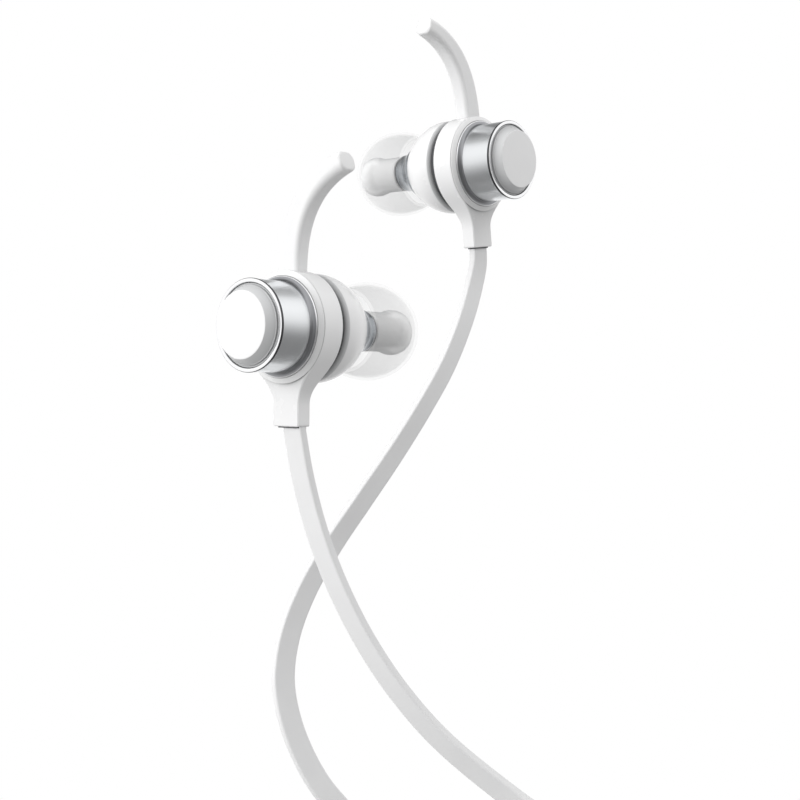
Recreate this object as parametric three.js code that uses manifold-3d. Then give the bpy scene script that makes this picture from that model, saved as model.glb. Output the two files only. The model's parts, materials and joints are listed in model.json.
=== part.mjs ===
// Neckband earphones: two in-ear earpieces on flat cords, and a sprung neckband with two pods.
// Millimetres, +Z up. The origin is the centre of the neck opening, at the neckband's mid height.
// The open end of the neckband faces +X, so -Y is the wearer's right and +Y the wearer's left.
import * as THREE from "three";
import { mergeVertices } from "three/addons/utils/BufferGeometryUtils.js";
import Module from "manifold-3d";

const wasm = await Module();
wasm.setup();

const GAP = 0.3; // clearance between pieces that touch
const TURN_SIDES = 24; // sides of a turned earpiece part

// Earpiece, along its own axis a: 0 at the polished rim, growing towards the ear.
const RIM_R = 5.63;
const BARREL_BORE_R = 5.1;
const BARREL_LENGTH = 5.6;
const FLANGE_R = 6.2;
const RING_R = 6.95;
const RING_BORE_R = 5.2;
const RING_START = BARREL_LENGTH + GAP;
const RING_END = 9.0;
const RING_MID = (RING_START + RING_END) / 2;
const SHELL_START = 10.0;
const SHELL_END = 16.5;
const SHELL_R = 6.55;
const BELL_END = 20.3;
const BELL_TIP_R = 2.72;
const NOZZLE_R = 1.75;
const NOZZLE_BORE_R = 1.1;
const NOZZLE_END = 25.8;
const TIP_R = 6.39;
const TIP_WIDEST = 21.3;
const TIP_NOSE = 28.2;
const TIP_LENGTH = 7.0; // from the widest station to the dome's pole
const SLEEVE_R = 2.6;
const SLEEVE_BORE_R = NOZZLE_R + GAP;
const STEM_WIDTH = 4.3;
const STEM_THICKNESS = 2.2;
const STEM_BOTTOM = -11.6; // below the ring's centre
const GROMMET_LENGTH = 0.5;
const WING_THICKNESS = 2.1;
const WING_BASE_HALF = 1.7;
const WING_TIP_HALF = 1.15;

// Where each earpiece is held: the ring's centre, the turn about Z and the roll about its axis.
const EARPIECES = {
  right: { centre: [6.8, -13, 98.9], turn: 49.8, roll: -1, hook: -1 },
  left: { centre: [30.6, 24.5, 124.7], turn: 139, roll: 7, hook: 1 },
};

// Flat cords, from the earpiece's stem down and round into the pod, and their section's twist.
const CORD_WIDTH = 3.05;
const CORD_THICKNESS = 1.05;
const CORD_STEPS = 64;
const CORDS = {
  right: {
    twist: 50,
    route: [
      [7.1, -13.0, 86.2], [7.9, -13.0, 81.4], [9.2, -12.8, 75.9], [11.0, -12.5, 70.3],
      [13.4, -12.2, 64.7], [16.4, -11.8, 59.1], [20.2, -11.4, 53.5], [25.2, -11.0, 47.8],
      [33.8, -10.5, 40.6], [42.8, -11.5, 34.4], [52.3, -14.3, 26.4], [61.3, -19.0, 15.5],
      [68.5, -24.5, 2.0], [74.3, -30.5, -12.5], [79.5, -37.5, -26.0], [84.5, -45.5, -34.5],
      [88.5, -53.5, -35.5], [90.3, -59.5, -28.5], [90.0, -61.8, -18.0], [87.2, -62.0, -8.6],
      [82.0, -61.8, -2.4], [76.5, -61.5, -0.2], [71.4, -61.5, 0.0],
    ],
  },
  left: {
    twist: 140,
    route: [
      [31.6, 25.7, 112.0], [31.6, 25.6, 110.4], [31.0, 24.4, 107.4], [29.3, 21.2, 101.6], [26.6, 18.0, 95.0],
      [23.0, 15.0, 88.6], [19.0, 12.5, 82.3], [14.8, 10.0, 76.2], [10.7, 8.0, 70.2],
      [7.3, 6.0, 64.3], [5.1, 4.5, 58.4], [4.4, 3.5, 52.6], [5.5, 3.0, 46.7],
      [8.1, 3.0, 40.7], [10.9, 3.4, 36.6], [19.0, 6.0, 28.5], [30.0, 11.5, 22.5],
      [42.5, 18.5, 18.0], [55.0, 25.8, 11.5], [66.0, 32.5, 2.5], [75.5, 39.0, -6.5],
      [83.5, 44.8, -14.2], [89.4, 51.0, -17.6], [91.6, 57.4, -14.4], [88.4, 61.6, -6.8],
      [80.8, 62.0, -1.4], [71.4, 61.5, 0.0],
    ],
  },
};

// Neckband
const BAND_R = 61.5; // middle of the band, and half the distance between the pods
const BAND_HEIGHT = 4.6;
const BAND_DEPTH = 3.4;
const CORE_R = 0.6;
const HINGE_ANGLE = 128; // from +X, where the band's flexing stretch is centred
const POD_WIDTH = 11.5;
const POD_HEIGHT = 9.0;
const POD_CORNER = 3.6;
const POD_WALL = 1.2;
const POD_START = 13;
const POD_END = 61;
const REAR_TRIM_LENGTH = 6;
const FRONT_TRIM_LENGTH = 3;
const RELIEF_LENGTH = 6.5;

// Controls on the right pod
const BUTTON_LENGTH = 6.6;
const BUTTON_WIDTH = 4.6;
const BUTTON_TOP = POD_HEIGHT / 2 + 0.5;
const BUTTON_PITCH = 8.6;
const BUTTONS_MIDDLE = 42;
const BUTTON_TRAVEL_SPACE = 0.6;
const BOARD_TOP = 0.9;
const BOARD_THICKNESS = 0.8;
const PORT_X = 26;
const PORT_LENGTH = 8.6;
const PORT_HEIGHT = 3.1;
const PORT_Z = -1.6; // middle of the charge port
const COVER_THICKNESS = 1.1;
const COVER_CUT = 0.4; // the cover's inner top edge, cut back so it clears the upper shell as it swings
const LIGHT_X = 56;

const WHITE_GLOSS = { color: 0xf3f3f3, roughness: 0.25, metalness: 0 };
const WHITE_SATIN = { color: 0xeeeeee, roughness: 0.5, metalness: 0 };
const SILVER = { color: 0xc9ccd0, roughness: 0.25, metalness: 1 };
const CHROME = { color: 0xd8dadd, roughness: 0.12, metalness: 1 };
const SILICONE_CLEAR = { color: 0xe6e8ea, roughness: 0.35, metalness: 0, transparent: true, opacity: 0.5 };
const SILICONE_WHITE = { color: 0xf0f0f0, roughness: 0.6, metalness: 0 };
const DARK_RUBBER = { color: 0x3b3d40, roughness: 0.7, metalness: 0 };
const STEEL = { color: 0x9a9da1, roughness: 0.35, metalness: 1 };
const BOARD_GREEN = { color: 0x1f5d3a, roughness: 0.6, metalness: 0 };
const CELL_SILVER = { color: 0xa9adb2, roughness: 0.4, metalness: 0.6 };

const object = new THREE.Group();

function addMesh(parent, name, geometry, finish) {
  const mesh = new THREE.Mesh(geometry, new THREE.MeshStandardMaterial(finish));
  mesh.name = name;
  parent.add(mesh);
  return mesh;
}

// Signed volume of a closed indexed mesh: positive when its faces point outwards.
function signedVolume(geometry) {
  const at = geometry.attributes.position;
  const corners = [new THREE.Vector3(), new THREE.Vector3(), new THREE.Vector3()];
  let sum = 0;
  for (let i = 0; i < geometry.index.count; i += 3) {
    corners.forEach((corner, k) => corner.fromBufferAttribute(at, geometry.index.getX(i + k)));
    sum += corners[0].dot(corners[1].clone().cross(corners[2]));
  }
  return sum / 6;
}

// Merge a geometry's shared vertices and point its faces outwards.
function closedMesh(geometry) {
  geometry.deleteAttribute("normal");
  geometry.deleteAttribute("uv");
  const merged = mergeVertices(geometry, 1e-4);
  if (signedVolume(merged) < 0) {
    const index = merged.index.array;
    for (let i = 0; i < index.length; i += 3) {
      [index[i], index[i + 1]] = [index[i + 1], index[i]];
    }
  }
  return merged;
}

function toSolid(geometry) {
  const merged = closedMesh(geometry);
  return new wasm.Manifold(new wasm.Mesh({
    numProp: 3,
    vertProperties: new Float32Array(merged.attributes.position.array),
    triVerts: new Uint32Array(merged.index.array),
  }));
}

function fromSolid(solid) {
  const result = solid.getMesh();
  const geometry = new THREE.BufferGeometry();
  geometry.setAttribute("position", new THREE.BufferAttribute(new Float32Array(result.vertProperties), 3));
  geometry.setIndex(new THREE.BufferAttribute(new Uint32Array(result.triVerts), 1));
  return geometry;
}

// A solid turned about the earpiece's axis, from a closed profile of [a, radius] points.
function turned(profile, sides = TURN_SIDES) {
  const points = profile.map(([a, r]) => new THREE.Vector2(r, a));
  if (profile[0][1] > 0) {
    points.push(points[0].clone());
  }
  const geometry = new THREE.LatheGeometry(points, sides);
  geometry.rotateZ(-Math.PI / 2);
  return closedMesh(geometry);
}

function disc(from, to, radius, sides = TURN_SIDES) {
  return turned([[from, 0], [from, radius], [to, radius], [to, 0]], sides);
}

function tubeProfile(from, to, outer, inner) {
  return [[from, inner], [from, outer], [to, outer], [to, inner]];
}

// A point list on a circle arc, in (u, v), from one angle in degrees to another.
function arcPoints(centreU, centreV, radius, from, to, count) {
  return Array.from({ length: count + 1 }, (_, i) => {
    const angle = THREE.MathUtils.degToRad(from + ((to - from) * i) / count);
    return [centreU + radius * Math.cos(angle), centreV + radius * Math.sin(angle)];
  });
}

function box(low, high) {
  const size = high.map((value, i) => value - low[i]);
  const geometry = new THREE.BoxGeometry(...size);
  geometry.translate(...low.map((value, i) => value + size[i] / 2));
  return geometry;
}

function roundedOutline(width, height, corner, curve = THREE.Shape) {
  const w = width / 2;
  const h = height / 2;
  const outline = new curve();
  outline.moveTo(-w + corner, -h);
  outline.absarc(w - corner, -h + corner, corner, -Math.PI / 2, 0);
  outline.absarc(w - corner, h - corner, corner, 0, Math.PI / 2);
  outline.absarc(-w + corner, h - corner, corner, Math.PI / 2, Math.PI);
  outline.absarc(-w + corner, -h + corner, corner, Math.PI, Math.PI * 1.5);
  outline.closePath();
  return outline;
}

// An outline drawn in (y, z) and carried along +X from one station to another.
function alongX(outline, from, to, curveSegments = 4) {
  const geometry = new THREE.ExtrudeGeometry(outline, { depth: to - from, bevelEnabled: false, curveSegments });
  const basis = new THREE.Matrix4().makeBasis(
    new THREE.Vector3(0, 1, 0), new THREE.Vector3(0, 0, 1), new THREE.Vector3(1, 0, 0));
  geometry.applyMatrix4(basis);
  geometry.translate(from, 0, 0);
  return geometry;
}

// ---- Earpiece pieces ----

// The dome's outer radius at a station: an ellipse about the widest station.
function domeRadius(a, shrink = 0) {
  const along = (a - TIP_WIDEST) / (TIP_LENGTH - shrink);
  return (TIP_R - shrink) * Math.sqrt(Math.max(0, 1 - along * along));
}

function earTipProfile() {
  const wall = 0.5;
  const skirtBack = 16.9;
  const steps = 4;
  const stations = Array.from({ length: steps + 1 }, (_, i) => TIP_WIDEST + ((TIP_NOSE - 0.5 - TIP_WIDEST) * i) / steps);
  const outer = stations.map((a) => [a, domeRadius(a)]);
  const inner = stations.slice(0, steps - 1).map((a) => [a, domeRadius(a, wall)]).reverse();
  return [
    [skirtBack, 5.3], [skirtBack + 0.4, 5.65], [skirtBack + 2, 6.15], ...outer,
    [TIP_NOSE - 0.4, SLEEVE_BORE_R], [20.8, SLEEVE_BORE_R], [20.8, SLEEVE_R], [24.2, SLEEVE_R],
    [25.3, SLEEVE_R + 0.3],
    ...inner, [skirtBack + 2, 6.15 - wall], [skirtBack + 0.5, 5.1],
  ];
}

function shellProfile() {
  return [
    [SHELL_START, RING_BORE_R], [SHELL_START, 5.9], [10.5, 6.3], [11.5, SHELL_R], [13, 6.35], [14.3, 5.8],
    [15.5, 5.0], [SHELL_END, 4.25], [SHELL_END, 2.2], [15.6, 2.2], [15.3, 3.7], [13.6, 5.0], [11.6, 5.5],
  ];
}

function bellProfile() {
  const start = SHELL_END + GAP;
  return [
    [start, NOZZLE_BORE_R], [start, 4.1], [17.6, 3.85], [18.4, 3.3], [19.2, 2.92],
    [BELL_END - 0.5, BELL_TIP_R], [BELL_END, BELL_TIP_R], [BELL_END, NOZZLE_BORE_R],
  ];
}

// Ring housing: a turned ring, with a flat stem that flares into it from below.
function ringHousing() {
  const ring = toSolid(turned([
    [RING_START, RING_BORE_R], [RING_START, RING_R - 0.35], [RING_START + 0.35, RING_R],
    [RING_END - 0.25, RING_R], [RING_END, RING_R - 0.25], [RING_END, RING_BORE_R],
  ]));
  const half = STEM_WIDTH / 2;
  const outline = new THREE.Shape();
  outline.moveTo(-5.6, -3.8);
  outline.quadraticCurveTo(-half - 0.2, -6.4, -half, -9.2);
  outline.lineTo(-half, STEM_BOTTOM);
  outline.lineTo(half, STEM_BOTTOM);
  outline.lineTo(half, -9.2);
  outline.quadraticCurveTo(half + 0.2, -6.4, 5.6, -3.8);
  outline.closePath();
  const stem = toSolid(alongX(outline, RING_MID - STEM_THICKNESS / 2, RING_MID + STEM_THICKNESS / 2, 6));
  const bore = toSolid(disc(RING_START - 1, RING_END + 1, RING_BORE_R));
  return fromSolid(ring.add(stem).subtract(bore));
}

// Ear wing: a tapering hook whose middle line is a cubic curve in the ring's plane.
function earWing(hook) {
  const root = Math.sqrt((RING_R + GAP) ** 2 - WING_BASE_HALF ** 2) + 0.2;
  const middle = new THREE.CubicBezierCurve(
    new THREE.Vector2(0, root), new THREE.Vector2(0, 11.6), new THREE.Vector2(1.4, 17.2), new THREE.Vector2(8.5, 19.5));
  const steps = 12;
  const sides = [1, -1].map((side) => Array.from({ length: steps + 1 }, (_, i) => {
    const t = i / steps;
    const at = middle.getPoint(t);
    const along = middle.getTangent(t);
    const half = THREE.MathUtils.lerp(WING_BASE_HALF, WING_TIP_HALF, t);
    return new THREE.Vector2(hook * (at.x - side * along.y * half), at.y + side * along.x * half);
  }));
  const outline = new THREE.Shape([...sides[0], ...sides[1].reverse()]);
  const bevel = 0.45;
  const geometry = new THREE.ExtrudeGeometry(outline, {
    depth: WING_THICKNESS - 2 * bevel, bevelThickness: bevel, bevelSize: bevel, bevelOffset: -bevel, bevelSegments: 2,
  });
  geometry.translate(0, 0, -WING_THICKNESS / 2 + bevel);
  const basis = new THREE.Matrix4().makeBasis(
    new THREE.Vector3(0, 1, 0), new THREE.Vector3(0, 0, 1), new THREE.Vector3(1, 0, 0));
  geometry.applyMatrix4(basis);
  geometry.translate(RING_MID, 0, 0);
  return closedMesh(geometry);
}

function cordGrommet() {
  const top = STEM_BOTTOM - GAP;
  return box(
    [RING_MID - STEM_THICKNESS / 2, -STEM_WIDTH / 2, top - GROMMET_LENGTH],
    [RING_MID + STEM_THICKNESS / 2, STEM_WIDTH / 2, top]);
}

function addEarpiece(side) {
  const { centre, turn, roll, hook } = EARPIECES[side];
  const local = new THREE.Group();
  local.position.x = -RING_MID;
  const rolled = new THREE.Group();
  rolled.rotation.x = THREE.MathUtils.degToRad(-roll);
  rolled.add(local);
  const held = new THREE.Group();
  held.position.set(...centre);
  held.rotation.z = THREE.MathUtils.degToRad(turn);
  held.add(rolled);
  object.add(held);
  const add = (piece, geometry, finish) => addMesh(local, `${side}_${piece}`, geometry, finish);

  add("back_cap", turned([[-1.3, 0], [-1.3, 4.1], [-1.0, 4.35], [0.3, 4.75], [1.2, 4.75], [1.2, 0]]), WHITE_SATIN);
  add("barrel", turned([
    [0.2, BARREL_BORE_R], [0, BARREL_BORE_R + 0.2], [0, RIM_R - 0.2], [0.2, RIM_R], [4.9, RIM_R],
    [5.05, FLANGE_R], [BARREL_LENGTH, FLANGE_R], [BARREL_LENGTH, BARREL_BORE_R],
  ]), SILVER);
  add("back_magnet", disc(1.5, 3.2, 4.6), STEEL);
  add("driver_magnet", disc(3.6, 5.9, 3.4), STEEL);
  add("driver", disc(6.2, 8.8, RING_BORE_R - GAP), CELL_SILVER);
  add("ring_housing", ringHousing(), WHITE_GLOSS);
  add("ear_wing", earWing(hook), SILICONE_WHITE);
  add("cord_grommet", cordGrommet(), SILICONE_WHITE);
  add("joint_seal", turned(tubeProfile(RING_END + GAP, SHELL_START - GAP, 5.75, 4.2)), DARK_RUBBER);
  add("nozzle_shell", turned(shellProfile()), WHITE_GLOSS);
  add("nozzle_bell", turned(bellProfile()), CHROME);
  add("nozzle_tube", turned(tubeProfile(BELL_END + GAP, NOZZLE_END, NOZZLE_R, NOZZLE_BORE_R), 16), WHITE_SATIN);
  add("nozzle_mesh", disc(NOZZLE_END + GAP, NOZZLE_END + 2 * GAP, NOZZLE_R, 16), STEEL);
  add("ear_tip", turned(earTipProfile()), SILICONE_CLEAR);
}

// ---- Cords ----

function addCord(side) {
  const { twist, route } = CORDS[side];
  const path = new THREE.CatmullRomCurve3(route.map((point) => new THREE.Vector3(...point)), false, "centripetal");
  const turn = THREE.MathUtils.degToRad(twist);
  const section = new THREE.Shape(Array.from({ length: 8 }, (_, i) => {
    const angle = ((i + 0.5) / 8) * Math.PI * 2;
    return new THREE.Vector2((CORD_WIDTH / 2) * Math.cos(angle), (CORD_THICKNESS / 2) * Math.sin(angle))
      .rotateAround(new THREE.Vector2(), turn);
  }));
  const geometry = new THREE.ExtrudeGeometry(section, { steps: CORD_STEPS, extrudePath: path });
  addMesh(object, `${side}_cord`, closedMesh(geometry), SILICONE_WHITE);
}

// ---- Neckband ----

// A plan curve of the band: an arc about the origin, then a straight run along +X where asked.
function bandPath(fromAngle, toAngle, side, straightTo) {
  const steps = Math.ceil(Math.abs(toAngle - fromAngle) / 8);
  const points = arcPoints(0, 0, BAND_R, fromAngle, toAngle, steps);
  if (straightTo !== undefined) {
    points.push([straightTo / 2, BAND_R], [straightTo, BAND_R]);
  }
  return new THREE.CatmullRomCurve3(points.map(([x, y]) => new THREE.Vector3(x, side * y, 0)), false, "centripetal");
}

function bandSection() {
  const section = new THREE.Shape();
  section.absellipse(0, 0, BAND_HEIGHT / 2, BAND_DEPTH / 2, 0, Math.PI * 2);
  const bore = new THREE.Path();
  bore.absellipse(0, 0, CORE_R + GAP, CORE_R + GAP, 0, Math.PI * 2);
  section.holes.push(bore);
  return section;
}

function coreSection() {
  const section = new THREE.Shape();
  section.absellipse(0, 0, CORE_R, CORE_R, 0, Math.PI * 2);
  return section;
}

function sweep(section, path, steps, curveSegments) {
  return closedMesh(new THREE.ExtrudeGeometry(section, { steps, extrudePath: path, curveSegments }));
}

function addBand() {
  const halfGap = THREE.MathUtils.radToDeg(GAP / 2 / BAND_R);
  const centre = bandPath(HINGE_ANGLE + halfGap, 360 - HINGE_ANGLE - halfGap, 1);
  addMesh(object, "band_centre", sweep(bandSection(), centre, 14, 5), SILICONE_WHITE);
  addMesh(object, "band_centre_core", sweep(coreSection(), centre, 14, 3), STEEL);
  for (const [side, sign] of [["right", -1], ["left", 1]]) {
    const arm = bandPath(HINGE_ANGLE - halfGap, 90, sign, POD_START - GAP - REAR_TRIM_LENGTH - GAP);
    addMesh(object, `${side}_band_arm`, sweep(bandSection(), arm, 10, 5), SILICONE_WHITE);
    addMesh(object, `${side}_band_core`, sweep(coreSection(), arm, 10, 3), STEEL);
  }
}

function podTube() {
  const outline = roundedOutline(POD_WIDTH, POD_HEIGHT, POD_CORNER);
  outline.holes.push(roundedOutline(
    POD_WIDTH - 2 * POD_WALL, POD_HEIGHT - 2 * POD_WALL, POD_CORNER - POD_WALL, THREE.Path));
  return toSolid(alongX(outline, POD_START, POD_END));
}

// Half of the pod's tube: up is 1 for the upper shell and -1 for the lower one.
function podShell(up) {
  const low = up > 0 ? GAP / 2 : -POD_HEIGHT;
  const high = up > 0 ? POD_HEIGHT : -GAP / 2;
  return podTube().intersect(toSolid(box([POD_START - 1, -POD_WIDTH, low], [POD_END + 1, POD_WIDTH, high])));
}

function uprightSlab(outline, x, low, high) {
  const geometry = new THREE.ExtrudeGeometry(outline, { depth: high - low, bevelEnabled: false, curveSegments: 4 });
  geometry.translate(x, 0, low);
  return geometry;
}

function buttonX(place) {
  return BUTTONS_MIDDLE + place * BUTTON_PITCH;
}

function buttonOutline(grow) {
  return roundedOutline(BUTTON_LENGTH + 2 * grow, BUTTON_WIDTH + 2 * grow, 2 + grow);
}

const BUTTONS = { volume_down_button: -1, call_button: 0, volume_up_button: 1 };

function upperControlShell() {
  let shell = podShell(1);
  for (const place of Object.values(BUTTONS)) {
    shell = shell.subtract(toSolid(uprightSlab(buttonOutline(GAP), buttonX(place), 1, POD_HEIGHT)));
  }
  const light = new THREE.CylinderGeometry(0.6 + GAP, 0.6 + GAP, 4, 12).rotateX(Math.PI / 2);
  light.translate(LIGHT_X, 0, POD_HEIGHT / 2);
  return fromSolid(shell.subtract(toSolid(light)));
}

function lowerControlShell(outward) {
  const grow = GAP;
  const reach = [outward * (POD_WIDTH / 2 - 2.4), outward * (POD_WIDTH / 2 + 1)].sort((a, b) => a - b);
  const port = box(
    [PORT_X - PORT_LENGTH / 2 - grow, reach[0], PORT_Z - PORT_HEIGHT / 2 - grow],
    [PORT_X + PORT_LENGTH / 2 + grow, reach[1], PORT_Z + PORT_HEIGHT / 2 + grow]);
  return fromSolid(podShell(-1).subtract(toSolid(port)));
}

// A trim that closes one end of a pod, tapering from the pod's section to a smaller one.
function podTrim(from, to, endScale, boreR) {
  const outline = roundedOutline(POD_WIDTH, POD_HEIGHT, POD_CORNER);
  const geometry = alongX(outline, Math.min(from, to), Math.max(from, to));
  const at = geometry.attributes.position;
  for (let i = 0; i < at.count; i++) {
    if (Math.abs(at.getX(i) - to) < 0.01) {
      at.setXYZ(i, to, at.getY(i) * endScale, at.getZ(i) * endScale);
    }
  }
  if (!boreR) {
    return closedMesh(geometry);
  }
  const bore = new THREE.CylinderGeometry(boreR, boreR, 40, 12).rotateZ(Math.PI / 2);
  bore.translate((from + to) / 2, 0, 0);
  return fromSolid(toSolid(geometry).subtract(toSolid(bore)));
}

// Strain relief: a flat tapering boot that the cord leaves along +X.
function strainRelief(from) {
  const outline = roundedOutline(CORD_WIDTH + 2.6, CORD_THICKNESS + 2.8, 1.4);
  const geometry = alongX(outline, from, from + RELIEF_LENGTH);
  const at = geometry.attributes.position;
  for (let i = 0; i < at.count; i++) {
    if (at.getX(i) > from + 1) {
      at.setY(i, at.getY(i) * 0.72);
      at.setZ(i, at.getZ(i) * 0.6);
    }
  }
  return closedMesh(geometry);
}

function addPodShells(pod, side, upper, lower) {
  addMesh(pod, `${side}_pod_upper_shell`, upper, WHITE_GLOSS);
  addMesh(pod, `${side}_pod_lower_shell`, lower, WHITE_GLOSS);
  const rearStart = POD_START - GAP;
  const frontStart = POD_END + GAP;
  addMesh(pod, `${side}_pod_rear_trim`, podTrim(rearStart, rearStart - REAR_TRIM_LENGTH, 0.52, CORE_R + GAP), SILVER);
  addMesh(pod, `${side}_pod_front_trim`, podTrim(frontStart, frontStart + FRONT_TRIM_LENGTH, 0.78), SILVER);
  const reliefStart = frontStart + FRONT_TRIM_LENGTH + GAP;
  addMesh(pod, `${side}_cord_strain_relief`, strainRelief(reliefStart), SILICONE_WHITE);
}

// The flap over the charge port, hinged along its lower outer edge.
function portCover() {
  const outer = -POD_WIDTH / 2;
  const inner = outer + COVER_THICKNESS;
  const low = PORT_Z - PORT_HEIGHT / 2;
  const high = PORT_Z + PORT_HEIGHT / 2;
  const outline = new THREE.Shape([
    [outer, low], [inner, low], [inner, high - COVER_CUT], [inner - COVER_CUT, high], [outer, high],
  ].map(([y, z]) => new THREE.Vector2(y, z)));
  return closedMesh(alongX(outline, PORT_X - PORT_LENGTH / 2, PORT_X + PORT_LENGTH / 2));
}

function addControlPod() {
  const pod = new THREE.Group();
  pod.position.y = -BAND_R;
  object.add(pod);
  addPodShells(pod, "right", upperControlShell(), lowerControlShell(-1));

  addMesh(pod, "control_board", box(
    [POD_START + 2, -3.9, BOARD_TOP - BOARD_THICKNESS], [POD_END - 1, 3.9, BOARD_TOP]), BOARD_GREEN);
  const switchTop = BOARD_TOP + GAP + 0.9;
  for (const [name, place] of Object.entries(BUTTONS)) {
    const x = buttonX(place);
    addMesh(pod, name.replace("button", "switch"), box(
      [x - 1.5, -1.5, BOARD_TOP + GAP], [x + 1.5, 1.5, switchTop]), STEEL);
    const button = uprightSlab(buttonOutline(0), x, switchTop + BUTTON_TRAVEL_SPACE, BUTTON_TOP);
    addMesh(pod, name, closedMesh(button), SILICONE_WHITE);
  }
  const light = new THREE.CylinderGeometry(0.6, 0.6, 2.6, 12).rotateX(Math.PI / 2);
  light.translate(LIGHT_X, 0, POD_HEIGHT / 2 - 1.3);
  addMesh(pod, "status_light", closedMesh(light), SILICONE_CLEAR);
  addMesh(pod, "microphone", box([17, -1.9, BOARD_TOP + GAP], [20.5, 0.7, BOARD_TOP + GAP + 1]), STEEL);

  const mouthY = -POD_WIDTH / 2 + 2.4;
  const socket = toSolid(box(
    [PORT_X - 3.7, mouthY, PORT_Z - 1.15], [PORT_X + 3.7, mouthY + 5.4, PORT_Z + 1.15]));
  const mouth = toSolid(box(
    [PORT_X - 3.2, mouthY - 1, PORT_Z - 0.8], [PORT_X + 3.2, mouthY + 4.6, PORT_Z + 0.8]));
  addMesh(pod, "charge_socket", fromSolid(socket.subtract(mouth)), CHROME);
  addMesh(pod, "charge_port_cover", portCover(), SILICONE_WHITE);
}

function addBatteryPod() {
  const pod = new THREE.Group();
  pod.position.y = BAND_R;
  object.add(pod);
  addPodShells(pod, "left", fromSolid(podShell(1)), fromSolid(podShell(-1)));
  const battery = alongX(roundedOutline(8.2, 5.6, 2), POD_START + 10, POD_END - 3);
  addMesh(pod, "battery", closedMesh(battery), CELL_SILVER);
  addMesh(pod, "vibration_motor", box([POD_START + 2, -3, -1.6], [POD_START + 8.5, 3, 1.6]), STEEL);
}

for (const side of ["right", "left"]) {
  addEarpiece(side);
  addCord(side);
}
addBand();
addControlPod();
addBatteryPod();

export default object;
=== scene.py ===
# Neckband earphones: the visual model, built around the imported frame. Metres, +Z up.
import json
import math

import bmesh
import bpy
import numpy as np
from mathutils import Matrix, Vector


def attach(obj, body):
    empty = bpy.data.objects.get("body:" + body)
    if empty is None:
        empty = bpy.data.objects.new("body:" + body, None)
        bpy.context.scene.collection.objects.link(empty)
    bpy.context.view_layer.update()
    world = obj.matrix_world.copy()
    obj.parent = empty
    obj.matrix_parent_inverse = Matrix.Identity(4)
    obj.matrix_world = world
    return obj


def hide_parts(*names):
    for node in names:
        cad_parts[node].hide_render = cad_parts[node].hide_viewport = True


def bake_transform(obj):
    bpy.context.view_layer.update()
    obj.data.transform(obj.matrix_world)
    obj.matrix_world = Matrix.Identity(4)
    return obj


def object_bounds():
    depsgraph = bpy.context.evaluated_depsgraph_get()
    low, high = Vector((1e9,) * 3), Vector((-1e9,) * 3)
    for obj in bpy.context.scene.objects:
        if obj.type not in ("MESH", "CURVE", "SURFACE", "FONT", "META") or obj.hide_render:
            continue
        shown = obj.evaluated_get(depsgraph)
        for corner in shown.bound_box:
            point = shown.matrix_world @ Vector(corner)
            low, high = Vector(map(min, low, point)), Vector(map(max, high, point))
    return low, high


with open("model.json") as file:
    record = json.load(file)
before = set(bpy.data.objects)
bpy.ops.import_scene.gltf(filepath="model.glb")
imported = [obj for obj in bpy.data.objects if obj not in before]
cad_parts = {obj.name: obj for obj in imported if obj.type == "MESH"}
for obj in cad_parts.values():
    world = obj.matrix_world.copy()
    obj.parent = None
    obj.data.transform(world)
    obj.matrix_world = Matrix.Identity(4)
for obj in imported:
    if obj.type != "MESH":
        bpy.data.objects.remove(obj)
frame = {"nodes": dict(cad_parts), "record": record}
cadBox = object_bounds()
record = frame["record"]
mounts = {mount["name"]: mount for mount in record["mounts"]}
mm = 0.001

# Camera, floor and lights

view = {
    "camera": (0.020, -0.197, 0.090),
    "lens": 67.5,
    "sensor": 36.0,
    "floorBelow": 0.012,
    "floorSize": 30.0,
    # light from the studio by height, floor to ceiling, then what polished metal sees
    "soft": [(0.0, 0.35), (0.42, 0.55), (0.55, 0.69), (1.0, 0.68)],
    "cards": [
        (0.0, 0.22), (0.19, 0.24), (0.25, 0.27), (0.32, 0.52), (0.385, 0.80), (0.43, 0.98), (0.58, 1.15),
        (0.69, 1.08), (0.73, 0.92), (0.757, 0.58), (0.79, 0.50), (0.84, 0.25), (0.90, 0.22), (1.0, 0.4)],
    "cardTilt": (-0.19, 0.5, 1.0),
    "cardShift": -0.17,
    "reach": 1.3,
}

lamps = {
    "key": {"place": (-0.84, -0.42, 0.20), "size": (0.40, 0.50), "watts": 5.6},
    "top": {"place": (-0.25, -0.15, 0.92), "size": (0.6, 0.6), "watts": 2.0},
    "fill": {"place": (0.62, -0.24, 0.80), "size": (0.5, 0.6), "watts": 2.0},
}
aim = Vector((0.02, 0.0, 0.10))


def makeCamera():
    data = bpy.data.cameras.new("camera")
    data.lens = view["lens"]
    data.sensor_width = view["sensor"]
    data.clip_start = 0.005
    data.clip_end = 50
    camera = bpy.data.objects.new("camera", data)
    camera.location = view["camera"]
    camera.rotation_euler = (math.pi / 2, 0, 0)  # level, looking along +Y
    bpy.context.scene.collection.objects.link(camera)
    bpy.context.scene.camera = camera


def makeLamp(name, facts):
    data = bpy.data.lights.new(name, "AREA")
    data.shape = "RECTANGLE"
    data.size, data.size_y = facts["size"]
    data.energy = facts["watts"]
    lamp = bpy.data.objects.new(name, data)
    lamp.location = facts["place"]
    lamp.rotation_mode = "QUATERNION"
    lamp.rotation_quaternion = (aim - lamp.location).to_track_quat("-Z", "Y")
    lamp.visible_glossy = False
    bpy.context.scene.collection.objects.link(lamp)


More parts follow.
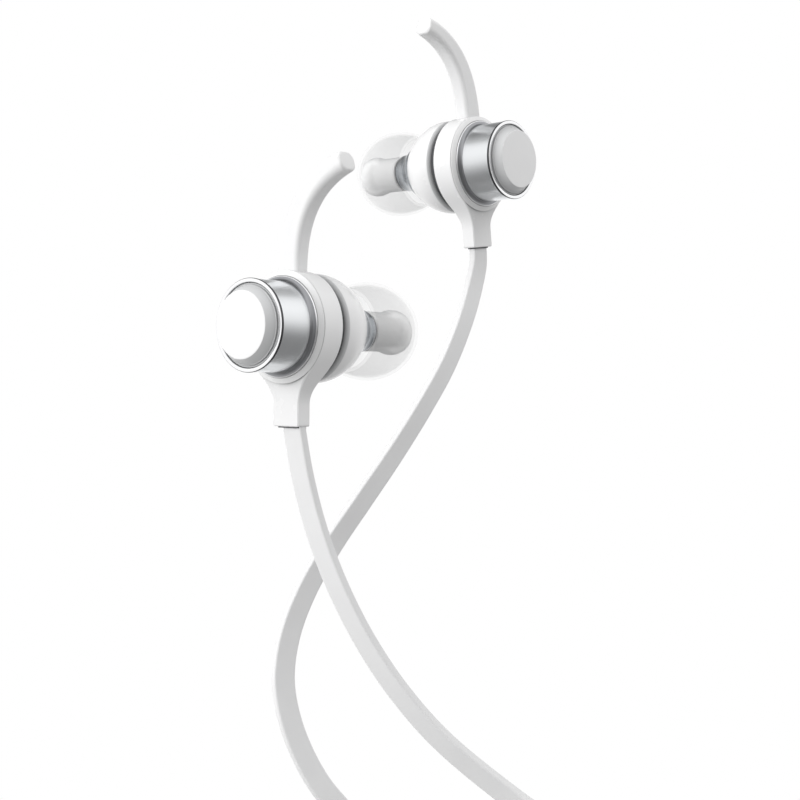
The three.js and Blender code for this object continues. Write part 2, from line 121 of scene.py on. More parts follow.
def makeWorld():
    world = bpy.data.worlds.new("studio")
    bpy.context.scene.world = world
    world.use_nodes = True
    nodes, links = world.node_tree.nodes, world.node_tree.links
    nodes.clear()
    out = nodes.new("ShaderNodeOutputWorld")
    coords = nodes.new("ShaderNodeTexCoord")
    softRamp = heightRamp(nodes, links, coords, (0.0, 0.0, 1.0), 0.0, 1.0, view["soft"])
    cardRamp = heightRamp(
        nodes, links, coords, view["cardTilt"], view["cardShift"], view["reach"], view["cards"])
    rays = nodes.new("ShaderNodeLightPath")
    diffuse = nodes.new("ShaderNodeBackground")
    links.new(softRamp, diffuse.inputs[0])
    glossy = nodes.new("ShaderNodeBackground")
    links.new(cardRamp, glossy.inputs[0])
    white = nodes.new("ShaderNodeBackground")
    white.inputs[0].default_value = (1, 1, 1, 1)
    firstMix = nodes.new("ShaderNodeMixShader")
    links.new(rays.outputs["Is Glossy Ray"], firstMix.inputs[0])
    links.new(diffuse.outputs[0], firstMix.inputs[1])
    links.new(glossy.outputs[0], firstMix.inputs[2])
    lastMix = nodes.new("ShaderNodeMixShader")
    links.new(rays.outputs["Is Camera Ray"], lastMix.inputs[0])
    links.new(firstMix.outputs[0], lastMix.inputs[1])
    links.new(white.outputs[0], lastMix.inputs[2])
    links.new(lastMix.outputs[0], out.inputs[0])


# Greys by a direction's tilted height: its dot product with the tilt, shifted, from -reach to reach.
def heightRamp(nodes, links, coords, tilt, shift, reach, stops):
    dot = nodes.new("ShaderNodeVectorMath")
    dot.operation = "DOT_PRODUCT"
    dot.inputs[1].default_value = tilt
    links.new(coords.outputs["Generated"], dot.inputs[0])
    heights = nodes.new("ShaderNodeMapRange")
    heights.inputs["From Min"].default_value = -reach - shift
    heights.inputs["From Max"].default_value = reach - shift
    links.new(dot.outputs["Value"], heights.inputs["Value"])
    greys = ramp(nodes, stops)
    links.new(heights.outputs[0], greys.inputs[0])
    return greys.outputs[0]


def ramp(nodes, stops):
    node = nodes.new("ShaderNodeValToRGB")
    band = node.color_ramp
    while len(band.elements) < len(stops):
        band.elements.new(0.5)
    for element, (place, value) in zip(band.elements, stops):
        element.position = place
    for element, (place, value) in zip(band.elements, stops):
        element.color = (value, value, value, 1)
    return node


def makeFloor():
    low = cadBox[0].z - view["floorBelow"]
    half = view["floorSize"] / 2
    mesh = bpy.data.meshes.new("floor")
    corners = [(-half, -half, low), (half, -half, low), (half, half, low), (-half, half, low)]
    mesh.from_pydata(corners, [], [(0, 1, 2, 3)])
    floor = bpy.data.objects.new("floor", mesh)
    bpy.context.scene.collection.objects.link(floor)
    paint = bpy.data.materials.new("floorPaint")
    paint.use_nodes = True
    nodes, links = paint.node_tree.nodes, paint.node_tree.links
    nodes.remove(nodes["Principled BSDF"])
    glow = nodes.new("ShaderNodeEmission")
    glow.inputs["Strength"].default_value = 1.0
    links.new(glow.outputs[0], nodes["Material Output"].inputs["Surface"])
    mesh.materials.append(paint)
    floor.visible_diffuse = False  # the studio lights the object from below, through the floor
    floor.visible_glossy = False
    floor.visible_shadow = False


bpy.context.scene.view_settings.view_transform = "Standard"
makeCamera()
for lampName, lampFacts in lamps.items():
    makeLamp(lampName, lampFacts)
makeWorld()
makeFloor()
print("stage: camera, lights and floor")

# Shader groups and materials


def newGroup(name, inputs, outputs):
    group = bpy.data.node_groups.new(name, "ShaderNodeTree")
    for label, kind, value in inputs:
        socket = group.interface.new_socket(name=label, in_out="INPUT", socket_type=kind)
        socket.default_value = value
    for label, kind in outputs:
        group.interface.new_socket(name=label, in_out="OUTPUT", socket_type=kind)
    return group, group.nodes.new("NodeGroupInput"), group.nodes.new("NodeGroupOutput")


def mathNode(nodes, links, operation, *values):
    node = nodes.new("ShaderNodeMath")
    node.operation = operation
    for i, value in enumerate(values):
        if isinstance(value, (int, float)):
            node.inputs[i].default_value = value
        else:
            links.new(value, node.inputs[i])
    return node.outputs[0]


# Moulded grain: two sizes of noise in Object coordinates, as a height and a roughness change.
def makeGrainGroup():
    group, start, end = newGroup(
        "mouldedGrain",
        [("Fine Scale", "NodeSocketFloat", 9000.0), ("Wide Scale", "NodeSocketFloat", 500.0),
         ("Base Roughness", "NodeSocketFloat", 0.4), ("Roughness Change", "NodeSocketFloat", 0.08)],
        [("Height", "NodeSocketFloat"), ("Roughness", "NodeSocketFloat"), ("Tone", "NodeSocketFloat")])
    nodes, links = group.nodes, group.links
    coords = nodes.new("ShaderNodeTexCoord")
    fine = nodes.new("ShaderNodeTexNoise")
    fine.inputs["Detail"].default_value = 2
    links.new(coords.outputs["Object"], fine.inputs["Vector"])
    links.new(start.outputs["Fine Scale"], fine.inputs["Scale"])
    wide = nodes.new("ShaderNodeTexNoise")
    wide.inputs["Detail"].default_value = 3
    links.new(coords.outputs["Object"], wide.inputs["Vector"])
    links.new(start.outputs["Wide Scale"], wide.inputs["Scale"])
    links.new(fine.outputs["Fac"], end.inputs["Height"])
    spread = mathNode(nodes, links, "SUBTRACT", wide.outputs["Fac"], 0.5)
    change = mathNode(nodes, links, "MULTIPLY", spread, start.outputs["Roughness Change"])
    links.new(mathNode(nodes, links, "ADD", change, start.outputs["Base Roughness"]), end.inputs["Roughness"])
    links.new(wide.outputs["Fac"], end.inputs["Tone"])
    return group


# Turning marks: rings of noise along the UV's second axis, which runs along a turned part's profile.
def makeTurnedGroup():
    group, start, end = newGroup(
        "turnedMarks",
        [("Rings", "NodeSocketFloat", 60.0), ("Base Roughness", "NodeSocketFloat", 0.3),
         ("Roughness Change", "NodeSocketFloat", 0.15)],
        [("Height", "NodeSocketFloat"), ("Roughness", "NodeSocketFloat")])
    nodes, links = group.nodes, group.links
    coords = nodes.new("ShaderNodeTexCoord")
    split = nodes.new("ShaderNodeSeparateXYZ")
    links.new(coords.outputs["UV"], split.inputs[0])
    joined = nodes.new("ShaderNodeCombineXYZ")
    links.new(mathNode(nodes, links, "MULTIPLY", split.outputs["X"], 1.5), joined.inputs["X"])
    rings = mathNode(nodes, links, "MULTIPLY", split.outputs["Y"], start.outputs["Rings"])
    links.new(rings, joined.inputs["Y"])
    noise = nodes.new("ShaderNodeTexNoise")
    noise.inputs["Scale"].default_value = 1.0
    noise.inputs["Detail"].default_value = 4
    links.new(joined.outputs[0], noise.inputs["Vector"])
    links.new(noise.outputs["Fac"], end.inputs["Height"])
    spread = mathNode(nodes, links, "SUBTRACT", noise.outputs["Fac"], 0.5)
    change = mathNode(nodes, links, "MULTIPLY", spread, start.outputs["Roughness Change"])
    links.new(mathNode(nodes, links, "ADD", change, start.outputs["Base Roughness"]), end.inputs["Roughness"])
    return group


grainGroup = makeGrainGroup()
turnedGroup = makeTurnedGroup()


def placeGroup(nodes, group, values):
    node = nodes.new("ShaderNodeGroup")
    node.node_tree = group
    for label, value in values.items():
        node.inputs[label].default_value = value
    return node


def startMaterial(name, fixed):
    material = bpy.data.materials.new(name)
    material.use_nodes = True
    skin = material.node_tree.nodes["Principled BSDF"]
    for label, value in fixed.items():
        skin.inputs[label].default_value = value
    return material, material.node_tree.nodes, material.node_tree.links, skin


def addBump(nodes, links, skin, height, strength, distance):
    bump = nodes.new("ShaderNodeBump")
    bump.inputs["Strength"].default_value = strength
    bump.inputs["Distance"].default_value = distance
    links.new(height, bump.inputs["Height"])
    links.new(bump.outputs[0], skin.inputs["Normal"])


def toneColor(nodes, links, skin, tone, dark, light):
    mix = nodes.new("ShaderNodeMix")
    mix.data_type = "RGBA"
    mix.inputs["A"].default_value = (*dark, 1)
    mix.inputs["B"].default_value = (*light, 1)
    links.new(tone, mix.inputs["Factor"])
    links.new(mix.outputs["Result"], skin.inputs["Base Color"])


# Tones from dark to light, roughness and its change, fine bump, gloss coat, and the two grain scales.
mouldings = {
    "glossWhite": {
        "dark": (0.83, 0.83, 0.835), "light": (0.87, 0.87, 0.87), "rough": 0.26, "change": 0.10,
        "bump": 0.02, "coat": 0.35, "fine": 1800.0, "wide": 260.0, "creviceShade": True, "slot": "gloss_white"},
    "satinWhite": {
        "dark": (0.82, 0.82, 0.825), "light": (0.86, 0.86, 0.86), "rough": 0.42, "change": 0.10,
        "bump": 0.03, "coat": 0.1, "fine": 2500.0, "wide": 400.0, "creviceShade": True, "slot": "satin_white"},
    # painted shade: a darker copy of the satin white, for the cap's shoulder and the shell's front rounding,
    # where shade falls
    "paintedShadeWhite": {
        "dark": (0.60, 0.605, 0.61), "light": (0.64, 0.645, 0.65), "rough": 0.40, "change": 0.08,
        "bump": 0.03, "coat": 0.1, "fine": 2500.0, "wide": 400.0, "creviceShade": True, "slot": "satin_white"},
    "softWhite": {
        "dark": (0.81, 0.81, 0.815), "light": (0.85, 0.85, 0.85), "rough": 0.52, "change": 0.10,
        "bump": 0.04, "coat": 0.0, "fine": 2200.0, "wide": 350.0, "creviceShade": False,
        "slot": "white_silicone"},
    "cordWhite": {
        "dark": (0.76, 0.76, 0.765), "light": (0.80, 0.80, 0.80), "rough": 0.50, "change": 0.10,
        "bump": 0.03, "coat": 0.0, "fine": 1800.0, "wide": 300.0, "creviceShade": False, "slot": "cord_skin"},
    # dark rubber, also used as painted shade: the grommet's dark lip and the seal's black band stand in for
    # shade in the gaps around them
    "darkRubber": {
        "dark": (0.035, 0.035, 0.04), "light": (0.06, 0.06, 0.065), "rough": 0.65, "change": 0.12,
        "bump": 0.15, "coat": 0.0, "fine": 8000.0, "wide": 400.0, "creviceShade": True, "slot": "dark_rubber"},
    "boardGreen": {
        "dark": (0.015, 0.09, 0.04), "light": (0.03, 0.15, 0.07), "rough": 0.45, "change": 0.2,
        "bump": 0.1, "coat": 0.3, "fine": 3000.0, "wide": 900.0, "creviceShade": True, "slot": "board_green"},
    "cellWrap": {
        "dark": (0.36, 0.38, 0.40), "light": (0.46, 0.48, 0.50), "rough": 0.35, "change": 0.2,
        "bump": 0.1, "coat": 0.2, "fine": 2500.0, "wide": 300.0, "creviceShade": True, "slot": "cell_wrap"},
}

# Turned metals: tint, roughness and its change, and the rings that turning leaves.
metals = {
    "satinSilver": {
        "color": (0.80, 0.815, 0.83, 1), "rough": 0.25, "change": 0.08, "rings": 22.0, "bump": 0.04,
        "slot": "satin_silver"},
    # painted shade: a darker copy of the satin silver, for the cove at the flange's foot
    "coveShadeSilver": {
        "color": (0.36, 0.365, 0.38, 1), "rough": 0.30, "change": 0.08, "rings": 22.0, "bump": 0.03,
        "slot": "satin_silver"},
    # painted shade: near-black metal on the rim's outer edge and in the shallow groove behind it
    "grooveShadeLine": {
        "color": (0.10, 0.10, 0.105, 1), "rough": 0.35, "change": 0.06, "rings": 22.0, "bump": 0.02,
        "slot": "satin_silver"},
    "brightRim": {
        "color": (0.93, 0.93, 0.94, 1), "rough": 0.06, "change": 0.05, "rings": 30.0, "bump": 0.02,
        "slot": "satin_silver"},
    "chromeBell": {
        "color": (0.32, 0.34, 0.36, 1), "rough": 0.20, "change": 0.08, "rings": 18.0, "bump": 0.03,
        "slot": "chrome"},
    "darkCollar": {
        "color": (0.14, 0.145, 0.155, 1), "rough": 0.30, "change": 0.10, "rings": 18.0, "bump": 0.03,
        "slot": "chrome"},
    "platedSteel": {
        "color": (0.55, 0.56, 0.58, 1), "rough": 0.32, "change": 0.20, "rings": 12.0, "bump": 0.05,
        "slot": "plated_steel"},
}


crevice = {"distance": 0.0016, "power": 1.2, "shade": (0.16, 0.165, 0.17)}


# Painted shade in joints and corners: the colour is mixed towards a grey by how shut in a spot is.
def shadeCrevices(nodes, links, skin):
    color = skin.inputs["Base Color"].links[0].from_socket
    shut = nodes.new("ShaderNodeAmbientOcclusion")
    shut.samples = 8
    shut.inputs["Distance"].default_value = crevice["distance"]
    openness = mathNode(nodes, links, "POWER", shut.outputs["AO"], crevice["power"])
    mix = nodes.new("ShaderNodeMix")
    mix.data_type = "RGBA"
    mix.inputs["A"].default_value = (*crevice["shade"], 1)
    links.new(openness, mix.inputs["Factor"])
    links.new(color, mix.inputs["B"])
    links.new(mix.outputs["Result"], skin.inputs["Base Color"])


def makeMoulding(name, facts):
    material, nodes, links, skin = startMaterial(name, {"Coat Weight": facts["coat"], "Coat Roughness": 0.12})
    grain = placeGroup(nodes, grainGroup, {
        "Fine Scale": facts["fine"], "Wide Scale": facts["wide"],
        "Base Roughness": facts["rough"], "Roughness Change": facts["change"]})
    links.new(grain.outputs["Roughness"], skin.inputs["Roughness"])
    toneColor(nodes, links, skin, grain.outputs["Tone"], facts["dark"], facts["light"])
    if facts["creviceShade"]:
        shadeCrevices(nodes, links, skin)
    addBump(nodes, links, skin, grain.outputs["Height"], facts["bump"], 0.00002)
    return material


def makeMetal(name, facts):
    material, nodes, links, skin = startMaterial(name, {"Metallic": 1.0, "Base Color": facts["color"]})
    marks = placeGroup(nodes, turnedGroup, {
        "Rings": facts["rings"], "Base Roughness": facts["rough"], "Roughness Change": facts["change"]})
    links.new(marks.outputs["Roughness"], skin.inputs["Roughness"])
    addBump(nodes, links, skin, marks.outputs["Height"], facts["bump"], 0.00002)
    return material


silicones = {
    # alpha at the back and the nose of the profile, and along a wall seen edge on; the higher alpha at the
    # back greys it, a painted shade, and the edge colour is a painted glow on the dome's edges and lip and a
    # painted shade on the sleeve's edges
    "domeSilicone": {
        "rough": 0.30, "back": 0.20, "nose": 0.045, "reach": 11.0, "wall": 0.07,
        "edge": (0.58, 0.74), "face": (0.34, 0.345, 0.35), "edgeGlowAndShade": (0.93, 0.93, 0.93),
        "lip": 0.45, "lipAlpha": 0.12},
    "sleeveSilicone": {
        "rough": 0.34, "back": 0.80, "nose": 0.80, "reach": 11.0, "wall": 0.80,
        "edge": (0.45, 0.95), "face": (0.95, 0.95, 0.95), "edgeGlowAndShade": (0.62, 0.625, 0.63),
        "lip": -1.0, "lipAlpha": 0.3},
}


def blendColor(nodes, links, factor, first, second):
    mix = nodes.new("ShaderNodeMix")
    mix.data_type = "RGBA"
    links.new(factor, mix.inputs["Factor"])
    for socket, value in (("A", first), ("B", second)):
        if isinstance(value, tuple):
            mix.inputs[socket].default_value = (*value, 1)
        else:
            links.new(value, mix.inputs[socket])
    return mix.outputs["Result"]


def mapValue(nodes, links, value, fromMin, fromMax, toMin, toMax):
    node = nodes.new("ShaderNodeMapRange")
    for label, number in (("From Min", fromMin), ("From Max", fromMax), ("To Min", toMin), ("To Max", toMax)):
        node.inputs[label].default_value = number
    links.new(value, node.inputs["Value"])
    return node.outputs[0]


# Clear silicone: a thin skin whose alpha falls from the back to the nose, greying the back as painted shade,
# with a paler lip and paler walls seen edge on, a painted glow of light through the wall.
def makeSilicone(name, facts):
    material, nodes, links, skin = startMaterial(name, {"Roughness": facts["rough"], "IOR": 1.41})
    facing = nodes.new("ShaderNodeLayerWeight")
    facing.inputs["Blend"].default_value = 0.5
    edgeOn = mapValue(nodes, links, facing.outputs["Facing"], *facts["edge"], 0.0, 1.0)
    coords = nodes.new("ShaderNodeTexCoord")
    split = nodes.new("ShaderNodeSeparateXYZ")
    links.new(coords.outputs["UV"], split.inputs[0])
    lip = mathNode(nodes, links, "LESS_THAN", split.outputs["Y"], facts["lip"])
    pale = mathNode(nodes, links, "MAXIMUM", edgeOn, lip)
    links.new(blendColor(nodes, links, pale, facts["face"], facts["edgeGlowAndShade"]), skin.inputs["Base Color"])
    alpha = mapValue(nodes, links, split.outputs["Y"], 3.0, facts["reach"], facts["back"], facts["nose"])
    change = mathNode(nodes, links, "SUBTRACT", facts["wall"], alpha)
    alpha = mathNode(nodes, links, "MULTIPLY_ADD", change, edgeOn, alpha)
    change = mathNode(nodes, links, "SUBTRACT", facts["lipAlpha"], alpha)
    links.new(mathNode(nodes, links, "MULTIPLY_ADD", change, lip, alpha), skin.inputs["Alpha"])
    grain = placeGroup(nodes, grainGroup, {"Fine Scale": 4000.0, "Wide Scale": 300.0})
    addBump(nodes, links, skin, grain.outputs["Height"], 0.06, 0.00002)
    return material


# Woven wire: two crossed waves in Object coordinates, as height and as holes in the tone.
def makeWireMesh(name):
    material, nodes, links, skin = startMaterial(name, {"Metallic": 1.0, "Roughness": 0.35})
    coords = nodes.new("ShaderNodeTexCoord")
    waves = []
    for direction in ("X", "Z"):
        wave = nodes.new("ShaderNodeTexWave")
        wave.bands_direction = direction
        wave.inputs["Scale"].default_value = 900
        links.new(coords.outputs["Object"], wave.inputs["Vector"])
        waves.append(wave.outputs["Fac"])
    weave = mathNode(nodes, links, "MAXIMUM", *waves)
    toneColor(nodes, links, skin, weave, (0.05, 0.05, 0.05), (0.6, 0.6, 0.62))
    addBump(nodes, links, skin, weave, 0.4, 0.00005)
    return material


paints = {name: makeMoulding(name, facts) for name, facts in mouldings.items()}
paints.update({name: makeMetal(name, facts) for name, facts in metals.items()})
paints.update({name: makeSilicone(name, facts) for name, facts in silicones.items()})
paints["wireMesh"] = makeWireMesh("wireMesh")
slots = {name: facts["slot"] for name, facts in {**mouldings, **metals}.items()}
slots.update({"domeSilicone": "clear_silicone", "sleeveSilicone": "clear_silicone",
              "wireMesh": "plated_steel"})
print("stage: materials")

# Surfaces worked out on grids


# A line with its corners rounded: each corner becomes a quadratic curve between two set-back points.
def rounded(corners, radius=0.1, steps=4):
    corners = np.array(corners, float)
    radii = corners[:, 2] if corners.shape[1] == 3 else np.full(len(corners), radius)
    points = corners[:, :2]
    line = [points[:1]]
    t = np.linspace(0, 1, steps + 1)[:, None]
    for before, corner, after, r in zip(points[:-2], points[1:-1], points[2:], radii[1:-1]):
        back, ahead = before - corner, after - corner
        reach = min(r, np.linalg.norm(back) * 0.45, np.linalg.norm(ahead) * 0.45)
        start = corner + back / np.linalg.norm(back) * reach
        stop = corner + ahead / np.linalg.norm(ahead) * reach
        line.append((1 - t) ** 2 * start + 2 * t * (1 - t) * corner + t ** 2 * stop)
    line.append(points[-1:])
    return np.concatenate(line)


def bezier(p0, p1, p2, p3, count=24):
    t = np.linspace(0, 1, count)[:, None]
    p0, p1, p2, p3 = (np.array(p, float) for p in (p0, p1, p2, p3))
    return (1 - t) ** 3 * p0 + 3 * t * (1 - t) ** 2 * p1 + 3 * t ** 2 * (1 - t) * p2 + t ** 3 * p3


# A rounded rectangle's outline: four quarter circles, joined by straight edges. Points close to each
# quarter circle's ends, and one halfway along the edge, keep the flats flat under smooth shading.
def roundedLoop(width, height, corner, steps=6):
    angles = np.linspace(0, math.pi / 2, steps + 1)
    quarter = np.stack([np.cos(angles), np.sin(angles)], 1) * corner
    arcs = []
    for turn, (sx, sy) in enumerate(((1, 1), (-1, 1), (-1, -1), (1, -1))):
        c, s = math.cos(turn * math.pi / 2), math.sin(turn * math.pi / 2)
        arc = quarter @ np.array([[c, s], [-s, c]])
        arcs.append(arc + [sx * (width / 2 - corner), sy * (height / 2 - corner)])
    shares = np.array([0.06, 0.5, 0.94])[:, None]
    loop = []
    for arc, following in zip(arcs, arcs[1:] + arcs[:1]):
        loop += [arc, arc[-1] + (following[0] - arc[-1]) * shares]
    return np.concatenate(loop)


# Quads over a grid of points, rows by columns, closed across rows or columns where asked.
def gridFaces(rows, columns, closeRows, closeColumns):
    r = np.arange(rows if closeRows else rows - 1)
    c = np.arange(columns if closeColumns else columns - 1)
    r, c = (grid.ravel() for grid in np.meshgrid(r, c, indexing="ij"))
    r1, c1 = (r + 1) % rows, (c + 1) % columns
    return np.stack([r * columns + c, r * columns + c1, r1 * columns + c1, r1 * columns + c], 1)


def makePiece(name, verts, faces, uv=None, materialRows=None, sharp=32):
    corners = verts[faces]
    fan = np.cross(corners[:, 1], corners[:, 2]) * corners[:, 0]
    fan = fan + np.cross(corners[:, 2], corners[:, 3]) * corners[:, 0]
    if fan.sum() < 0:
        faces = faces[:, ::-1]
    mesh = bpy.data.meshes.new(name)
    mesh.from_pydata(verts.tolist(), [], faces.tolist())
    if uv is not None:
        layer = mesh.uv_layers.new(name="UVMap")
        index = np.zeros(len(mesh.loops), np.int32)
        mesh.loops.foreach_get("vertex_index", index)
        layer.data.foreach_set("uv", uv[index].astype(np.float32).ravel())
    if materialRows is not None:
        mesh.polygons.foreach_set("material_index", materialRows.astype(np.int32))
    work = bmesh.new()
    work.from_mesh(mesh)
    bmesh.ops.remove_doubles(work, verts=work.verts, dist=1e-7)
    bmesh.ops.dissolve_degenerate(work, dist=1e-8, edges=work.edges)
    work.to_mesh(mesh)
    work.free()
    mesh.shade_smooth()
    mesh.set_sharp_from_angle(angle=math.radians(sharp))
    piece = bpy.data.objects.new(name, mesh)
    bpy.context.scene.collection.objects.link(piece)
    return piece


def finishPiece(piece, paintNames, body, replaced=(), blend=None):
    names = [paintNames] if isinstance(paintNames, str) else paintNames
    for name in names:
        piece.data.materials.append(paints[name])
    if blend:
        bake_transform(piece)
    else:
        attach(piece, body)
    if replaced:
        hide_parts(*replaced)
    return piece


# The place of a thing turned about an axis: an origin and three directions, one of them the axis.
def makeFrame(origin, axis, up, side):
    return {"origin": np.array(origin, float), "axis": np.array(axis, float),
            "up": np.array(up, float), "side": np.array(side, float)}


# Local (along the axis, to the side, up), in millimetres, to the row frame in metres.
def toRow(place, along, side, up):
    point = along[..., None] * place["axis"] + side[..., None] * place["side"] + up[..., None] * place["up"]
    return place["origin"] + point * mm


# A surface of revolution: each profile point (a, r) is carried round the axis.
# A profile that starts and ends on the axis is capped by its poles; any other closes on itself.
def revolve(name, place, profile, around=96, parts=None, sharp=32):
    profile = np.array(profile, float)
    angle = np.linspace(0, 2 * math.pi, around, endpoint=False)
    a = np.repeat(profile[:, :1], around, 1)
    verts = toRow(place, a, profile[:, 1:2] * np.cos(angle), profile[:, 1:2] * np.sin(angle)).reshape(-1, 3)
    loops = profile[0, 1] > 1e-6
    faces = gridFaces(len(profile), around, loops, True)
    length = np.concatenate([[0], np.cumsum(np.linalg.norm(np.diff(profile, axis=0), axis=1))])
    uv = np.stack([np.tile(angle / (2 * math.pi), len(profile)), np.repeat(length, around)], 1)
    materialRows = None if parts is None else np.repeat(np.array(parts(profile)), around)[:len(faces)]
    return makePiece(name, verts, faces, uv, materialRows, sharp)


# Sections carried along stations: centre + x * across + y * lift, with a fan at each open end.
def carry(name, centres, across, lift, loops, sharp=32):
    rows, columns = loops.shape[:2]
    spread = loops[..., :1] * across[:, None, :] + loops[..., 1:] * lift[:, None, :]
    verts = centres[:, None, :] + spread * mm
    ends = [verts[0].mean(0), verts[-1].mean(0)]
    faces = gridFaces(rows, columns, False, True)
    c = np.arange(columns)
    c1 = (c + 1) % columns
    first, last = rows * columns, rows * columns + 1
    bottom = np.stack([c1, c, np.full(columns, first), np.full(columns, first)], 1)
    base = (rows - 1) * columns
    top = np.stack([base + c, base + c1, np.full(columns, last), np.full(columns, last)], 1)
    allVerts = np.concatenate([verts.reshape(-1, 3), ends])
    allFaces = np.concatenate([faces, bottom, top])
    steps = np.concatenate([[0], np.cumsum(np.linalg.norm(np.diff(centres, axis=0), axis=1))]) / mm
    uv = np.stack([np.tile(c / columns, rows), np.repeat(steps, columns)], 1)
    uv = np.concatenate([uv, [[0.5, steps[0]], [0.5, steps[-1]]]])
    return makePiece(name, allVerts, allFaces, uv, None, sharp)


# Rows of a section near a cut end, drawn in and set back as a quarter circle, so the edge is round.
def endRound(radius, steps=4):
    angle = np.linspace(0, math.pi / 2, steps + 1)
    return radius * (1 - np.sin(angle)), radius * (1 - np.cos(angle))


# Earpieces, in millimetres along and out from each one's own axis

# each earpiece's turn about its own axis in degrees, and the side its wing hooks over to
rolls = {"right": 1.0, "left": 7.0}
hooks = {"right": -1.0, "left": 1.0}
ringMiddle = 7.45  # the middle of the rear ring, along the axis


# The earpiece's own frame, from the mount on its back cap: a is 0 at the rim and grows to the ear.
def earpieceFrame(side):
    mount = mounts[side + "_back_face"]
    axis = -np.array(mount["axis"], float)
    origin = np.array(mount["pos_m"], float) - capShape["face"] * mm * axis
    plumb = np.array([0.0, 0.0, 1.0])
    level = hooks[side] * np.cross(plumb, axis)
    roll = math.radians(rolls[side])
    up = math.cos(roll) * plumb + math.sin(roll) * level
    hook = math.cos(roll) * level - math.sin(roll) * plumb
    return makeFrame(origin, axis, up, hook)


capShape = {
    "face": -1.3, "faceR": 4.1, "stepA": -0.15, "stepR": 4.74, "footA": 0.12, "footR": 5.07, "footEnd": 1.2}


def backCap(side, place):
    f = capShape
    profile = rounded([
        (f["face"], 0, 0), (f["face"], f["faceR"], 0.1), (f["stepA"], f["stepR"], 0.06),
        (f["stepA"] + 0.04, f["stepR"] + 0.08, 0.03), (f["footA"], f["stepR"] + 0.1, 0.03),
        (f["footA"], f["footR"], 0.04), (f["footEnd"], f["footR"], 0.1), (f["footEnd"], 0, 0)], steps=5)

    # the shoulder outside the flat face takes the darker white: painted shade
    def parts(line):
        return np.where(line[:, 1] > f["faceR"] - 0.02, 1, 0)

    piece = revolve(side + "_cap_moulding", place, profile, 128, parts)
    finishPiece(piece, ["satinWhite", "paintedShadeWhite"], "neckband_back", [side + "_back_cap"])


barrelShape = {
    "bore": 5.13, "rimR": 5.65, "bodyR": 5.58, "rimEnd": 0.16, "lineEnd": 0.32, "coveStart": 4.75,
    "coveEnd": 5.22, "flangeR": 6.22, "lip": 0.1, "end": 5.5}


def barrel(side, place):
    f = barrelShape
    lipStart = f["flangeR"] - f["lip"]
    cove = bezier((f["coveStart"], f["bodyR"]), (f["coveStart"] + 0.2, f["bodyR"]),
                  (f["coveEnd"] - 0.05, f["bodyR"] + 0.1), (f["coveEnd"], lipStart), 10)
    front = rounded([
        (1.6, f["bore"], 0.1), (0.06, f["bore"], 0.04), (-0.03, f["bore"] + 0.05, 0.03),
        (-0.03, f["rimR"] - 0.06, 0.01), (0.03, f["rimR"], 0.03), (f["rimEnd"], f["rimR"], 0.02),
        (f["rimEnd"] + 0.02, f["bodyR"] - 0.06, 0.02), (f["lineEnd"] - 0.02, f["bodyR"] - 0.06, 0.02),
        (f["lineEnd"], f["bodyR"], 0.02), (f["coveStart"], f["bodyR"], 0.1)], steps=4)[:-1]
    back = rounded([
        (f["coveEnd"], lipStart, 0.03), (f["coveEnd"] + 0.02, f["flangeR"] - 0.02, 0.04),
        (f["coveEnd"] + 0.12, f["flangeR"], 0.03), (f["end"], f["flangeR"], 0.05),
        (f["end"], f["bore"], 0.05)], steps=3)[1:]
    profile = np.concatenate([front, cove, back])

    def parts(line):
        # the groove and the cove take the dark metals: painted shade in the groove and at the flange's foot
        a, r = line[:, 0], line[:, 1]
        rim = (a < f["rimEnd"]) | (r > lipStart - 0.01)
        groove = (a < f["lineEnd"]) & (r > f["rimR"] - 0.07)
        groove |= (a >= f["rimEnd"]) & (a < f["lineEnd"]) & (r > f["bore"] + 0.05)
        return np.select([groove, rim, a >= f["coveStart"]], [2, 1, 3], 0)

    piece = revolve(side + "_barrel_sleeve", place, profile, 128, parts)
    coats = ["satinSilver", "brightRim", "grooveShadeLine", "coveShadeSilver"]
    finishPiece(piece, coats, "neckband_back", [side + "_barrel"])


ringShape = {
    "front": 5.4, "frontR": 6.3, "chamferA": 5.74, "outerR": 6.96, "partA": 5.85, "rear": 9.12,
    "bore": 5.35, "edge": 0.2}


def frontRing(side, place):
    f = ringShape
    profile = rounded([
        (f["front"] + 0.3, f["bore"] + 0.4, 0.1), (f["front"] + 0.02, f["bore"] + 0.9, 0.05),
        (f["front"], f["frontR"], 0.06), (f["chamferA"], f["outerR"] - 0.05, 0.12),
        (f["partA"] - 0.03, f["outerR"] - 0.03, 0.03), (f["partA"] - 0.02, f["outerR"] - 0.15, 0.02),
        (f["partA"] - 0.02, f["bore"] + 0.4, 0.05)], steps=5)
    piece = revolve(side + "_ring_front", place, profile, 128)
    finishPiece(piece, "glossWhite", "neckband_back")


# drawFrom and drawOver: how far below the ring's centre both faces start to draw in, and over what height
stemShape = {
    "half": 2.15, "bottom": -12.15, "front": 6.4, "rear": 8.55, "flareTop": -3.75, "flareSide": 5.86,
    "corner": 0.3, "drawFrom": 5.0, "drawOver": 4.0}


